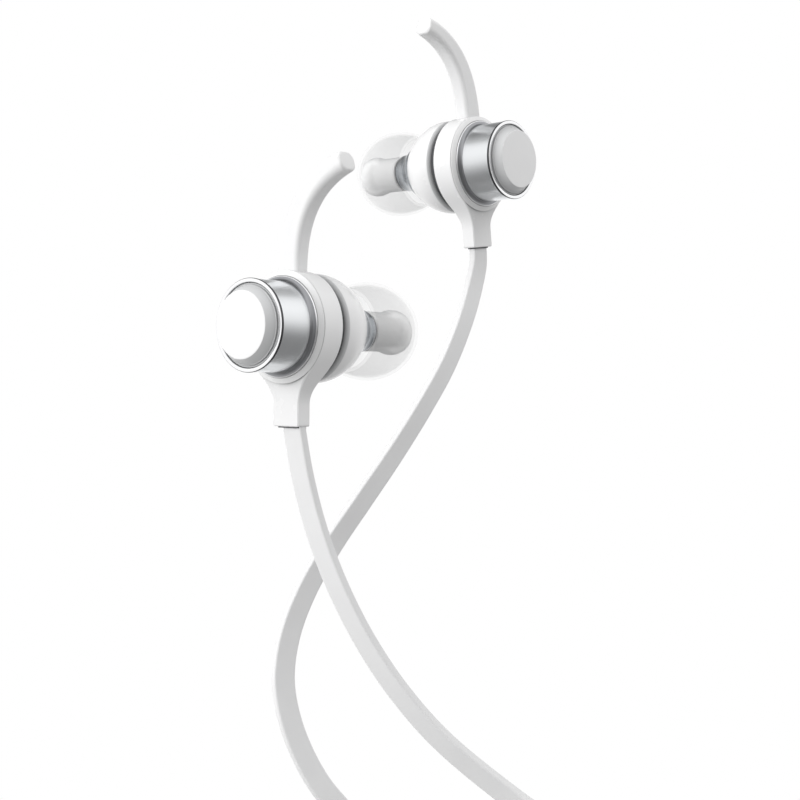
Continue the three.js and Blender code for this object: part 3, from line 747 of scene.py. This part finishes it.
# Outline of the rear ring with its stem, in (hook, up): a long arc, two flares, and the stem's end.
def housingOutline():
    f, s = ringShape, stemShape
    start = math.atan2(s["flareTop"], s["flareSide"])
    angles = np.linspace(start, math.pi - start, 150)
    arc = np.stack([np.cos(angles), np.sin(angles)], 1) * f["outerR"]
    first = arc[0]
    tangent = np.array([first[1], -first[0]]) / f["outerR"]
    flare = bezier(first, first + tangent * 2.2, (s["half"] + 0.02, -7.0), (s["half"], -9.4), 26)
    end = rounded([
        flare[-1], (s["half"], s["bottom"]), (-s["half"], s["bottom"]), flare[-1] * [-1, 1]],
        s["corner"], 5)
    downRight = np.linspace(end[0], end[1], 14)[:-1]
    upLeft = np.linspace(end[-2], end[-1], 14)[1:]
    bottomFill = np.linspace(end[6], end[7], 10)[1:-1]
    end = np.concatenate([downRight, end[1:7], bottomFill, end[7:-1], upLeft])
    mirrored = flare * [-1, 1]
    return np.concatenate([arc[2:], mirrored[1:-1], end[::-1], flare[::-1][1:]])


# Rear ring and stem: across the face from the bore to the outline, over a rounded edge, along the
# wall, over the rear edge and back to the bore. Both faces draw in from the ring to the thinner stem.
def rearHousing(side, place):
    f, s = ringShape, stemShape
    outline = housingOutline()
    ahead = np.roll(outline, -1, 0) - np.roll(outline, 1, 0)
    out = np.stack([ahead[:, 1], -ahead[:, 0]], 1)
    out /= np.linalg.norm(out, axis=1)[:, None]
    out *= np.sign((out * outline).sum(1).sum())
    inner = outline / np.linalg.norm(outline, axis=1)[:, None] * f["bore"]
    e = f["edge"]
    inset = outline - out * e
    t = np.linspace(0, 1, 9)[:, None, None]
    face = (1 - t) * inner + t * inset
    drawnIn, setBack = endRound(e * 0.6, 4)
    edge = outline[None] - out[None] * drawnIn[:, None, None]
    wall = np.linspace(0, 1, 4)[1:-1]

    def faceA(points, ring, stem):
        share = np.clip((-points[..., 1] - s["drawFrom"]) / s["drawOver"], 0, 1)
        return ring + (stem - ring) * share * share * (3 - 2 * share)

    def frontA(points):
        return faceA(points, f["partA"], s["front"])

    def rearA(points):
        return faceA(points, f["rear"], s["rear"])

    rows = list(face)
    stations = [frontA(row) for row in face]
    for row, back in zip(edge, setBack[::-1]):
        rows.append(row)
        stations.append(frontA(row) + e * 0.6 - back)
    for share in wall:
        rows.append(outline)
        stations.append((1 - share) * (frontA(outline) + e) + share * (rearA(outline) - e))
    for row, back in zip(edge[::-1], setBack):
        rows.append(row)
        stations.append(rearA(row) - e * 0.6 + back)
    rows += list(face[::-1])
    stations += [rearA(row) for row in face[::-1]]
    points = np.stack(rows)
    along = np.stack(stations)
    verts = toRow(place, along, points[..., 0], points[..., 1]).reshape(-1, 3)
    faces = gridFaces(len(rows), len(outline), True, True)
    piece = makePiece(side + "_ring_body", verts, faces, None, None, 28)
    finishPiece(piece, "glossWhite", "neckband_back", [side + "_ring_housing"])


grommetShape = {"below": 0.16, "above": 0.3, "edge": 0.06, "width": 3.45, "depth": 1.5, "corner": 0.4}


def stemGrommet(side, place):
    f = grommetShape
    low, high = stemShape["bottom"] - f["below"], stemShape["bottom"] + f["above"]
    drawnIn, setBack = endRound(f["edge"])
    heights = np.concatenate([low + setBack[::-1], [high]])
    inset = np.concatenate([drawnIn, [0]])
    loops = np.stack([roundedLoop(f["width"] - 2 * i, f["depth"] - 2 * i, f["corner"] - i) for i in inset])
    centres = toRow(place, np.full(len(heights), ringMiddle), heights * 0, heights)
    across = np.tile(place["side"], (len(heights), 1))
    lift = np.tile(place["axis"], (len(heights), 1))
    piece = carry(side + "_stem_grommet", centres, across, lift, loops)
    # its dark colour is painted shade where the cord leaves the stem
    finishPiece(piece, "darkRubber", "neckband_back", [side + "_cord_grommet"])


wingShape = {
    "root": 6.6, "lean": (11.6, 1.4, 17.2), "tip": (8.5, 19.6), "baseWidth": 3.4, "tipWidth": 2.5,
    "baseThick": 2.2, "tipThick": 2.75, "corner": 0.6, "tipCorner": 0.95, "rows": 60}


# Ear wing: a tapering rounded section along a cubic curve in the ring's plane, cut square at its tip.
def earWing(side, place):
    f = wingShape
    line = bezier((0, f["root"]), (0, f["lean"][0]), (f["lean"][1], f["lean"][2]), f["tip"], f["rows"])
    drawnIn, setBack = endRound(0.3, 5)
    tangent = np.gradient(line, axis=0)
    tangent /= np.linalg.norm(tangent, axis=1)[:, None]
    extra = line[-1] + tangent[-1] * (0.3 - setBack[::-1, None])
    shares = np.linspace(0, 1, len(line))
    line = np.concatenate([line, extra])
    tangent = np.concatenate([tangent, np.repeat(tangent[-1:], len(extra), 0)])
    width = np.concatenate([f["baseWidth"] + (f["tipWidth"] - f["baseWidth"]) * shares,
                            f["tipWidth"] - 2 * drawnIn[::-1]])
    thick = np.concatenate([f["baseThick"] + (f["tipThick"] - f["baseThick"]) * shares,
                            f["tipThick"] - 2 * drawnIn[::-1]])
    grown = np.clip(np.arange(len(line)) / (f["rows"] - 1), 0, 1)
    corner = f["corner"] + (f["tipCorner"] - f["corner"]) * grown ** 2
    corner = np.minimum(corner, np.minimum(width, thick) * 0.45)
    loops = np.stack([roundedLoop(w, t, c, 7) for w, t, c in zip(width, thick, corner)])
    centres = toRow(place, np.full(len(line), ringMiddle), line[:, 0], line[:, 1])
    sideways = np.stack([tangent[:, 1], -tangent[:, 0]], 1)
    across = sideways[:, :1] * place["side"] + sideways[:, 1:] * place["up"]
    lift = np.tile(place["axis"], (len(line), 1))
    piece = carry(side + "_wing_hook", centres, across, lift, loops, 40)
    finishPiece(piece, "softWhite", "neckband_back", [side + "_ear_wing"])


sealShape = {"start": 9.0, "end": 10.15, "bore": 4.4, "radius": 6.2, "edge": 0.05}


def seal(side, place):
    f = sealShape
    corners = [(a, r, f["edge"]) for a, r in (
        (f["start"], f["bore"]), (f["start"], f["radius"]), (f["end"], f["radius"]), (f["end"], f["bore"]))]
    profile = rounded(corners, steps=3)
    piece = revolve(side + "_seal_ring", place, profile)
    # the seal's black band behind the ring is partly its own dark rubber and partly painted shade in the gap
    finishPiece(piece, "darkRubber", "neckband_back", [side + "_joint_seal"])


shellShape = {"start": 10.1, "end": 16.65, "startR": 6.32, "shoulder": 10.52, "shoulderR": 6.76, "endR": 4.0}


def nozzleShell(side, place):
    f = shellShape
    front = bezier((f["start"], f["startR"]), (f["start"] + 0.1, f["startR"] + 0.2),
                   (f["shoulder"] - 0.2, f["shoulderR"] - 0.1), (f["shoulder"], f["shoulderR"]), 12)[:-1]
    outer = bezier((f["shoulder"], f["shoulderR"]), (12.0, 7.05), (14.6, 6.35), (f["end"], f["endR"]), 36)
    outer = np.concatenate([front, outer])
    inner = rounded([
        (f["end"], f["endR"], 0.1), (f["end"] + 0.02, f["endR"] - 0.15, 0.08), (f["end"] - 0.1, 2.2, 0.1),
        (15.4, 2.2, 0.1), (15.2, 3.7, 0.3), (13.4, 5.0, 0.4), (f["start"], 5.1, 0.2)], steps=4)[1:]

    # the front rounding next to the ring takes the darker white: painted shade from the ring
    def parts(line):
        return np.where((line[:, 0] < f["shoulder"] - 0.02) & (line[:, 1] > f["startR"] - 0.3), 1, 0)

    piece = revolve(side + "_shell_moulding", place, np.concatenate([outer, inner]), 128, parts)
    finishPiece(piece, ["glossWhite", "paintedShadeWhite"], "neckband_back", [side + "_nozzle_shell"])


bellShape = {"start": 16.5, "startR": 4.12, "end": 19.95, "endR": 2.72, "collarEnd": 20.35, "bore": 1.15}


def nozzleBell(side, place):
    f = bellShape
    curve = bezier((f["start"], f["startR"]), (17.4, 4.0), (18.0, 2.85),
                   (f["end"] - 0.35, f["endR"] + 0.02), 24)
    end = rounded([
        curve[-1], (f["end"], f["endR"]), (f["end"] + 0.02, f["endR"] - 0.2),
        (f["collarEnd"], f["endR"] - 0.2), (f["collarEnd"], f["bore"]), (f["start"], f["bore"])], 0.05, 3)[1:]
    profile = np.concatenate([curve, end])

    def parts(line):
        return np.where(line[:, 0] > f["end"] - 0.02, 1, 0)

    piece = revolve(side + "_bell_turning", place, profile, 96, parts)
    finishPiece(piece, ["chromeBell", "darkCollar"], "neckband_back", [side + "_nozzle_bell"])


nozzleShape = {"radius": 1.75, "bore": 1.1, "start": 20.2, "end": 25.8}


def nozzleTube(side, place):
    f = nozzleShape
    profile = rounded([
        (f["start"], f["bore"]), (f["start"], f["radius"]), (f["end"] - 0.6, f["radius"]),
        (f["end"], f["radius"] - 0.2), (f["end"], f["bore"])], 0.12, 4)
    piece = revolve(side + "_nozzle_pipe", place, profile, 64)
    finishPiece(piece, "satinWhite", "neckband_back", [side + "_nozzle_tube"])


tipShape = {
    "widest": 21.3, "radius": 6.39, "length": 7.0, "wall": 0.42, "back": 16.9, "backR": 5.0,
    "sleeveR": 2.58, "bulbR": 2.96, "bulbEnd": 27.15, "sleeveStart": 20.45, "bore": 1.95, "nose": 28.0}


# Ear tip: an elliptical dome with a rolled back edge, and a sleeve with a bulb, as one thin skin.
def earTip(side, place):
    f = tipShape
    nose = f["nose"] - 0.25
    angle = np.arccos((nose - f["widest"]) / f["length"])
    sweep = np.linspace(math.pi / 2, angle, 26)
    outer = np.stack([f["widest"] + f["length"] * np.cos(sweep), f["radius"] * np.sin(sweep)], 1)
    back = bezier((f["back"], f["backR"]), (f["back"] + 0.3, f["backR"] + 0.65), (19.2, f["radius"] - 0.02),
                  (f["widest"], f["radius"]), 18)[:-1]
    wall = f["wall"]
    innerStop = np.arccos((f["bulbEnd"] - f["widest"]) / (f["length"] - wall))
    sweepIn = np.linspace(innerStop, math.pi / 2, 20)
    inner = np.stack([f["widest"] + (f["length"] - wall) * np.cos(sweepIn),
                      (f["radius"] - wall) * np.sin(sweepIn)], 1)
    backIn = bezier((f["widest"], f["radius"] - wall), (19.2, f["radius"] - wall - 0.02),
                    (f["back"] + 0.6, f["backR"] + 0.45), (f["back"] + 0.25, f["backR"] - 0.12), 14)[1:]
    noseTurn = bezier(outer[-1], (f["nose"] + 0.1, outer[-1][1] - 0.35), (f["nose"] - 0.1, f["bore"] + 0.1),
                      (f["nose"] - 0.6, f["bore"]), 8)[1:]
    bore = np.array([[f["sleeveStart"], f["bore"]]])
    sleeve = rounded([
        (f["sleeveStart"], f["bore"]), (f["sleeveStart"], f["sleeveR"] + 0.05), (21.4, f["sleeveR"] + 0.02),
        (23.6, f["sleeveR"]), (24.6, f["sleeveR"] + 0.06), (25.4, f["bulbR"]), (26.5, f["bulbR"]),
        tuple(inner[0])], 0.5, 5)[1:-1]
    profile = np.concatenate([back, outer, noseTurn, bore, sleeve, inner, backIn])
    sleeveRows = slice(len(back) + len(outer) + len(noseTurn) - 1, len(profile) - len(inner) - len(backIn))

    def parts(line):
        rows = np.zeros(len(line), int)
        rows[sleeveRows] = 1
        return rows

    piece = revolve(side + "_tip_silicone", place, profile, 96, parts, 60)
    finishPiece(piece, ["domeSilicone", "sleeveSilicone"], side + "_ear_tip", [side + "_ear_tip"])


def dressInside(side):
    for part in ("back_magnet", "driver_magnet", "driver"):
        frame["nodes"][side + "_" + part].data.materials[0] = paints["platedSteel"]
    frame["nodes"][side + "_nozzle_mesh"].data.materials[0] = paints["wireMesh"]


places = {side: earpieceFrame(side) for side in ("right", "left")}
for earSide, earPlace in places.items():
    for build in (backCap, barrel, frontRing, rearHousing, stemGrommet, earWing, seal, nozzleShell,
                  nozzleBell, nozzleTube, earTip):
        build(earSide, earPlace)
    dressInside(earSide)
print("stage: earpieces")

# Cords

# blendFrom and blendTo, in metres on the left side: two points handed to finishPiece with the cord's arm and
# the band
cordShape = {
    "width": 3.05, "thick": 1.15, "corner": 0.26, "stations": 420, "intoStem": 0.6,
    "blendFrom": (0.0714, 0.0600, 0.0), "blendTo": (0.050, 0.030, 0.012)}
# route in millimetres, and the direction of the flat section's width at shares of its length
cordRoutes = {
    "right": {
        "route": [
            [7.1, -13.0, 86.2], [7.9, -13.0, 81.4], [9.2, -12.8, 75.9], [11.0, -12.5, 70.3],
            [13.4, -12.2, 64.7], [16.4, -11.8, 59.1], [20.2, -11.4, 53.5], [25.2, -11.0, 47.8],
            [33.8, -10.5, 40.6], [42.8, -11.5, 34.4], [52.3, -14.3, 26.4], [61.3, -19.0, 15.5],
            [68.5, -24.5, 2.0], [74.3, -30.5, -12.5], [79.5, -37.5, -26.0], [84.5, -45.5, -34.5],
            [88.5, -53.5, -35.5], [90.3, -59.5, -28.5], [90.0, -61.8, -18.0], [87.2, -62.0, -8.6],
            [82.0, -61.8, -2.4], [76.5, -61.5, -0.2], [71.4, -61.5, 0.0],
        ],
        "width": [(0.0, (0.764, -0.645, 0.0)), (0.12, (0.77, -0.62, 0.12)), (0.25, (0.62, -0.50, 0.60)),
                  (0.45, (0.55, -0.65, 0.55)), (0.7, (0.2, -0.9, 0.3)), (0.85, (0.0, -1.0, 0.0)),
                  (1.0, (0.0, -1.0, 0.0))],
    },
    "left": {
        "route": [
            [31.6, 25.7, 112.0], [31.6, 25.6, 110.4], [31.0, 24.4, 107.4], [29.3, 21.2, 101.6],
            [26.6, 18.0, 95.0], [23.0, 15.0, 88.6], [19.0, 12.5, 82.3], [14.8, 10.0, 76.2],
            [10.7, 8.0, 70.2], [7.3, 6.0, 64.3], [5.1, 4.5, 58.4], [4.4, 3.5, 52.6], [5.5, 3.0, 46.7],
            [8.1, 3.0, 40.7], [10.9, 3.4, 36.6], [19.0, 6.0, 28.5], [30.0, 11.5, 22.5],
            [42.5, 18.5, 18.0], [55.0, 25.8, 11.5], [66.0, 32.5, 2.5], [75.5, 39.0, -6.5],
            [83.5, 44.8, -14.2], [89.4, 51.0, -17.6], [91.6, 57.4, -14.4], [88.4, 61.6, -6.8],
            [80.8, 62.0, -1.4], [71.4, 61.5, 0.0],
        ],
        "width": [(0.0, (-0.656, -0.755, 0.0)), (0.06, (-0.68, -0.73, 0.05)), (0.18, (-0.74, -0.58, 0.34)),
                  (0.30, (-0.88, -0.47, 0.0)), (0.40, (-0.70, -0.45, -0.55)), (0.55, (-0.4, -0.4, -0.8)),
                  (0.75, (-0.3, -0.8, -0.4)), (0.9, (0.0, -1.0, 0.0)), (1.0, (0.0, -1.0, 0.0))],
    },
}


# A centripetal curve through the route's points, sampled evenly along its length.
def smoothPath(route, count):
    points = np.array(route, float)
    points = np.concatenate([[2 * points[0] - points[1]], points, [2 * points[-1] - points[-2]]])
    knots = np.concatenate([[0], np.cumsum(np.sqrt(np.linalg.norm(np.diff(points, axis=0), axis=1)))])
    line = []
    for i in range(1, len(points) - 2):
        t0, t1, t2, t3 = knots[i - 1:i + 3]
        p0, p1, p2, p3 = points[i - 1:i + 3]
        t = np.linspace(t1, t2, 40, endpoint=False)[:, None]
        a1 = (t1 - t) / (t1 - t0) * p0 + (t - t0) / (t1 - t0) * p1
        a2 = (t2 - t) / (t2 - t1) * p1 + (t - t1) / (t2 - t1) * p2
        a3 = (t3 - t) / (t3 - t2) * p2 + (t - t2) / (t3 - t2) * p3
        b1 = (t2 - t) / (t2 - t0) * a1 + (t - t0) / (t2 - t0) * a2
        b2 = (t3 - t) / (t3 - t1) * a2 + (t - t1) / (t3 - t1) * a3
        line.append((t2 - t) / (t2 - t1) * b1 + (t - t1) / (t2 - t1) * b2)
    line = np.concatenate([*line, points[-2:-1]])
    length = np.concatenate([[0], np.cumsum(np.linalg.norm(np.diff(line, axis=0), axis=1))])
    even = np.linspace(0, length[-1], count)
    return np.stack([np.interp(even, length, line[:, k]) for k in range(3)], 1), length[-1]


# The flat section's width follows the listed directions, squared up to the curve at each station.
def makeCord(side):
    facts, f = cordRoutes[side], cordShape
    line, length = smoothPath(facts["route"], f["stations"])
    into = places[side]["up"] * f["intoStem"]
    line = np.concatenate([[line[0] + into], line])
    tangent = np.gradient(line, axis=0)
    tangent /= np.linalg.norm(tangent, axis=1)[:, None]
    shares = np.linspace(0, 1, len(line))
    stops = np.array([share for share, direction in facts["width"]])
    wanted = np.array([direction for share, direction in facts["width"]])
    wide = np.stack([np.interp(shares, stops, wanted[:, k]) for k in range(3)], 1)
    wide -= (wide * tangent).sum(1)[:, None] * tangent
    wide /= np.linalg.norm(wide, axis=1)[:, None]
    lift = np.cross(tangent, wide)
    loop = roundedLoop(f["width"], f["thick"], f["corner"], 5)
    loops = np.repeat(loop[None], len(line), 0)
    piece = carry(side + "_flat_cord", line * mm, wide, lift, loops, 80)
    mirror = np.array([1, 1 if side == "left" else -1, 1])
    start, stop = (tuple((np.array(f[key]) * mirror).tolist()) for key in ("blendFrom", "blendTo"))
    finishPiece(piece, "cordWhite", None, [side + "_cord"], (side + "_arm", "neckband_back", start, stop))


for earSide in places:
    makeCord(earSide)
print("stage: cords")

# Neckband

# halfBend, in metres: how far each side of the hinge lie the two points handed to finishPiece with the band's
# two bodies
bandShape = {
    "radius": 61.5, "height": 4.6, "depth": 3.4, "corner": 1.6, "hingeAngle": 128.0, "halfBend": 0.011,
    "podStart": 12.7, "rearTrim": 6.0}
podShape = {
    "width": 11.5, "height": 9.0, "corner": 3.6, "wall": 1.2, "start": 13.0, "end": 61.0, "seam": 0.12}
collarShape = {"half": 4, "edge": 0.5, "depth": 4.5, "height": 5.7, "corner": 1.9}


# Half of the band: an arc about the neck from the back to the side, then straight on to the pod.
def bandHalf(side, sign):
    f = bandShape
    angles = np.radians(np.linspace(180, 90, 90))
    arc = np.stack([np.cos(angles), sign * np.sin(angles)], 1) * f["radius"]
    straight = np.linspace(0, f["podStart"] - f["rearTrim"] + 0.6, 8)[1:]
    run = np.stack([straight, np.full(len(straight), sign * f["radius"])], 1)
    line = np.concatenate([arc, run])
    line = np.concatenate([line, np.zeros((len(line), 1))], 1)
    tangent = np.gradient(line, axis=0)
    tangent /= np.linalg.norm(tangent, axis=1)[:, None]
    tangent[0] = (0, sign, 0)
    up = np.tile([0.0, 0.0, 1.0], (len(line), 1))
    outward = np.cross(tangent, up)
    loop = roundedLoop(f["depth"], f["height"], f["corner"], 8)
    loops = np.repeat(loop[None], len(line), 0)
    piece = carry(side + "_band_skin", line * mm, outward, up, loops, 50)
    hinge = math.radians(f["hingeAngle"])
    middle = np.array([math.cos(hinge), sign * math.sin(hinge), 0]) * f["radius"] * mm
    along = np.array([math.sin(hinge), -sign * math.cos(hinge), 0]) * f["halfBend"]
    finishPiece(piece, "softWhite", None, [side + "_band_arm"],
                ("neckband_back", side + "_arm", tuple(middle - along), tuple(middle + along)))


def bandCollar():
    f = collarShape
    place = makeFrame((-bandShape["radius"] * mm, 0, 0), (0, 1, 0), (0, 0, 1), (1, 0, 0))
    drawnIn, setBack = endRound(f["edge"], 4)
    along = np.concatenate([-f["half"] + setBack[::-1], f["half"] - setBack])
    inset = np.concatenate([drawnIn, drawnIn[::-1]])
    loops = np.stack([
        roundedLoop(f["depth"] - 2 * i, f["height"] - 2 * i, f["corner"] - i, 8) for i in inset])
    centres = toRow(place, along, along * 0, along * 0)
    across, lift = (np.tile(place[key], (len(along), 1)) for key in ("side", "up"))
    piece = carry("band_centre_collar", centres, across, lift, loops, 50)
    finishPiece(piece, "satinWhite", "neckband_back", ["band_centre"])


# A solid carried along +X through stations (x, width, height, corner), for trims and boots.
def loftX(name, y, stations, sharp=40):
    stations = np.array(stations, float)
    loops = np.stack([roundedLoop(w, h, c, 8) for x, w, h, c in stations])
    centres = np.stack([stations[:, 0], np.full(len(stations), y), np.zeros(len(stations))], 1) * mm
    across, lift = (np.tile(way, (len(stations), 1)) for way in ([0.0, 1.0, 0.0], [0.0, 0.0, 1.0]))
    return carry(name, centres, across, lift, loops, sharp)


# Half of a pod's case: the outer half outline, back along the inner one, carried along the pod.
def podCase(name, y, up):
    f = podShape
    outer = roundedLoop(f["width"], f["height"], f["corner"], 12)
    outer = outer[outer[:, 1] * up > f["seam"]]
    outer = outer[np.argsort(np.arctan2(outer[:, 1] * up, outer[:, 0]))]
    seamZ = up * f["seam"] / 2
    outer = np.concatenate([[[f["width"] / 2, seamZ]], outer, [[-f["width"] / 2, seamZ]]])
    size = np.array([f["width"], f["height"]])
    shrink = (size - 2 * f["wall"]) / size
    inner = outer * shrink
    inner[0, 1] = inner[-1, 1] = seamZ
    x = np.linspace(f["start"] - 0.2, f["end"] + 0.2, 25)
    loop = np.concatenate([outer, inner[::-1]])
    n, rows = len(loop), len(x)
    verts = np.stack([np.repeat(x, n), np.tile(loop[:, 0], rows) + y, np.tile(loop[:, 1], rows)], 1) * mm
    faces = gridFaces(rows, n, False, True)
    half = len(outer)
    i = np.arange(half - 1)
    capStart = np.stack([i, n - 1 - i, n - 2 - i, i + 1], 1)
    capEnd = capStart[:, ::-1] + (rows - 1) * n
    return makePiece(name, verts, np.concatenate([faces, capStart, capEnd]), None, None, 35)


def cutOut(piece, cutters):
    for cutter in cutters:
        modifier = piece.modifiers.new("cut", "BOOLEAN")
        modifier.operation = "DIFFERENCE"
        modifier.solver = "EXACT"
        modifier.object = cutter
    bpy.context.view_layer.update()
    cut = bpy.data.meshes.new_from_object(piece.evaluated_get(bpy.context.evaluated_depsgraph_get()))
    piece.modifiers.clear()
    piece.data = cut
    cut.shade_smooth()
    cut.set_sharp_from_angle(angle=math.radians(35))
    for cutter in cutters:
        bpy.data.objects.remove(cutter)


# An upright rounded prism with softened top, for buttons and for the holes they sit in.
def uprightPad(name, x, y, low, high, length, width, corner, soften):
    drawnIn, setBack = endRound(soften, 4) if soften else (np.zeros(1), np.zeros(1))
    heights = np.concatenate([[low], high - setBack])
    inset = np.concatenate([[0], drawnIn[::-1]])
    loops = np.stack([roundedLoop(length - 2 * i, width - 2 * i, max(corner - i, 0.05), 8) for i in inset])
    order = np.argsort(heights)
    centres = np.stack([np.full(len(heights), x), np.full(len(heights), y), heights[order]], 1) * mm
    across, lift = (np.tile(way, (len(heights), 1)) for way in ([1.0, 0.0, 0.0], [0.0, 1.0, 0.0]))
    return carry(name, centres, across, lift, loops, 40)


buttons = {
    "volume_down_button": {"x": 33.4, "mark": [(1.9, 0.42)]},
    "call_button": {"x": 42.0, "mark": []},
    "volume_up_button": {"x": 50.6, "mark": [(1.9, 0.42), (0.42, 1.9)]},
}
buttonShape = {
    "length": 6.6, "width": 4.6, "corner": 2.0, "low": 2.7, "top": 5.0, "clear": 0.22, "edge": 0.45}
portShape = {
    "x": 26.0, "z": -1.6, "length": 8.6, "height": 3.3, "thick": 1.1, "corner": 0.8, "edge": 0.25,
    "clear": 0.4, "proud": 0.02}
lightShape = {"x": 56.0, "radius": 0.6, "low": 2.0, "side": 4.35, "top": 4.55, "hole": 1.5}
holeReach = (1.0, 9.0)  # the heights between which a hole is cut through the upper case


def podTrims(side, y):
    f = podShape
    w, h, c = f["width"], f["height"], f["corner"]
    body = side + "_arm"
    front = loftX(side + "_front_ferrule", y, [
        (f["end"] + 0.15, w - 0.3, h - 0.3, c), (f["end"] + 0.3, w, h, c),
        (f["end"] + 1.2, w - 0.05, h - 0.05, c), (f["end"] + 2.3, w - 1.0, h - 0.9, c - 0.4),
        (f["end"] + 3.0, w - 2.3, h - 2.0, c - 0.9), (f["end"] + 3.25, w - 3.2, h - 2.9, c - 1.3)])
    finishPiece(front, "satinSilver", body, [side + "_pod_front_trim"])
    rear = loftX(side + "_rear_ferrule", y, [
        (6.5, 3.9, 5.0, 1.8), (6.7, 4.4, 5.6, 2.0), (8.2, 5.6, 6.3, 2.5), (10.4, 9.2, 7.8, 3.2),
        (12.0, w - 0.3, h - 0.2, c), (12.55, w, h, c), (12.8, w - 0.3, h - 0.3, c)])
    finishPiece(rear, "satinSilver", body, [side + "_pod_rear_trim"])
    start = f["end"] + 3.2
    boot = [(start, 5.6, 3.8, 1.3), (start + 0.6, 5.5, 3.7, 1.3)]
    for i in range(4):  # ribs that let the boot bend
        x = start + 1.3 + i * 1.45
        w0, h0 = 5.2 - i * 0.35, 3.3 - i * 0.35
        boot += [(x, w0, h0, h0 * 0.35), (x + 0.55, w0 - 0.05, h0 - 0.05, h0 * 0.35),
                 (x + 0.7, w0 - 0.6, h0 - 0.6, h0 * 0.3), (x + 1.1, w0 - 0.65, h0 - 0.65, h0 * 0.3)]
    boot.append((start + 6.9, 3.5, 1.6, 0.5))
    relief = loftX(side + "_cord_boot", y, boot)
    finishPiece(relief, "softWhite", body, [side + "_cord_strain_relief"])


# The pod's wall curves in below its flat part, and the cover's outer face goes with it:
# the shift is corner - sqrt(corner^2 - (depth below the flat)^2), fading to none at the inner face.
def followWall(cover, outerY, thick):
    points = np.zeros(len(cover.data.vertices) * 3)
    cover.data.vertices.foreach_get("co", points)
    points = points.reshape(-1, 3) / mm
    corner = podShape["corner"]
    below = np.clip(np.abs(points[:, 2]) - (podShape["height"] / 2 - corner), 0, corner)
    shift = corner - np.sqrt(corner ** 2 - below ** 2)
    points[:, 1] += shift * np.clip(1 - (points[:, 1] - outerY) / thick, 0, 1)
    cover.data.vertices.foreach_set("co", (points * mm).ravel())
    cover.data.update()


def controlPod():
    y = -bandShape["radius"]
    b, p, light = buttonShape, portShape, lightShape
    upper = podCase("right_case_upper", y, 1)
    holes = [
        uprightPad("hole", facts["x"], y, *holeReach, b["length"] + 2 * b["clear"],
                   b["width"] + 2 * b["clear"], b["corner"] + b["clear"], 0)
        for facts in buttons.values()]
    hole = light["hole"]
    holes.append(uprightPad("hole", light["x"], y, *holeReach, hole, hole, hole / 2 - 0.01, 0))
    cutOut(upper, holes)
    finishPiece(upper, "glossWhite", "right_arm", ["right_pod_upper_shell"])
    lower = podCase("right_case_lower", y, -1)
    centres = np.array([[p["x"], y - 7.5, p["z"]], [p["x"], y - 3.6, p["z"]]]) * mm
    loops = np.stack([roundedLoop(p["length"] + p["clear"], p["height"] + p["clear"], 1.0, 6)] * 2)
    port = carry("hole", centres, np.tile([1.0, 0, 0], (2, 1)), np.tile([0, 0, 1.0], (2, 1)), loops)
    cutOut(lower, [port])
    finishPiece(lower, "glossWhite", "right_arm", ["right_pod_lower_shell"])
    for name, facts in buttons.items():
        pad = uprightPad(name + "_cap", facts["x"], y, b["low"], b["top"], b["length"], b["width"],
                         b["corner"], b["edge"])
        finishPiece(pad, "softWhite", name, [name])
        marks = facts["mark"] or [(1.1, 1.1)]
        for i, (long, wide) in enumerate(marks):
            markTop = b["top"] + 0.09 + 0.01 * i
            sign = uprightPad(f"{name}_mark{i}", facts["x"], y, b["top"] - 0.1, markTop, long, wide,
                              min(long, wide) * 0.45, 0.06)
            finishPiece(sign, "satinWhite", name)
    wallY = y - podShape["width"] / 2
    outerY = wallY - p["proud"]
    drawnIn, setBack = endRound(p["edge"], 4)
    depth = np.concatenate([outerY + setBack[::-1], [wallY + p["thick"]]])
    inset = np.concatenate([drawnIn, [0]])
    loops = np.stack([
        roundedLoop(p["length"] - 2 * i, p["height"] - 2 * i, p["corner"] - i, 6) for i in inset])
    centres = np.stack([np.full(len(depth), p["x"]), depth, np.full(len(depth), p["z"])], 1) * mm
    across, lift = (np.tile(way, (len(depth), 1)) for way in ([1.0, 0, 0], [0, 0, 1.0]))
    cover = carry("port_flap", centres, across, lift, loops, 40)
    followWall(cover, outerY, p["thick"])
    finishPiece(cover, "softWhite", "charge_port_cover", ["charge_port_cover"])
    place = makeFrame((light["x"] * mm, y * mm, 0), (0, 0, 1), (1, 0, 0), (0, 1, 0))
    outline = rounded([
        (light["low"], 0), (light["low"], light["radius"]), (light["side"], light["radius"]),
        (light["top"], 0)], 0.25, 5)
    lens = revolve("status_lens", place, outline, 40)
    finishPiece(lens, "sleeveSilicone", "right_arm", ["status_light"])
    podTrims("right", y)


def batteryPod():
    y = bandShape["radius"]
    finishPiece(podCase("left_case_upper", y, 1), "glossWhite", "left_arm", ["left_pod_upper_shell"])
    finishPiece(podCase("left_case_lower", y, -1), "glossWhite", "left_arm", ["left_pod_lower_shell"])
    podTrims("left", y)


# CAD solids that stay as they are, under the material each is given
insides = {
    "platedSteel": [
        "band_centre_core", "right_band_core", "left_band_core", "volume_down_switch", "call_switch",
        "volume_up_switch", "microphone", "vibration_motor"],
    "chromeBell": ["charge_socket"],
    "boardGreen": ["control_board"],
    "cellWrap": ["battery"],
}

for bandSide, bandSign in (("right", -1), ("left", 1)):
    bandHalf(bandSide, bandSign)
bandCollar()
controlPod()
batteryPod()
for paintName, nodeNames in insides.items():
    for nodeName in nodeNames:
        frame["nodes"][nodeName].data.materials[0] = paints[paintName]
print("stage: neckband")
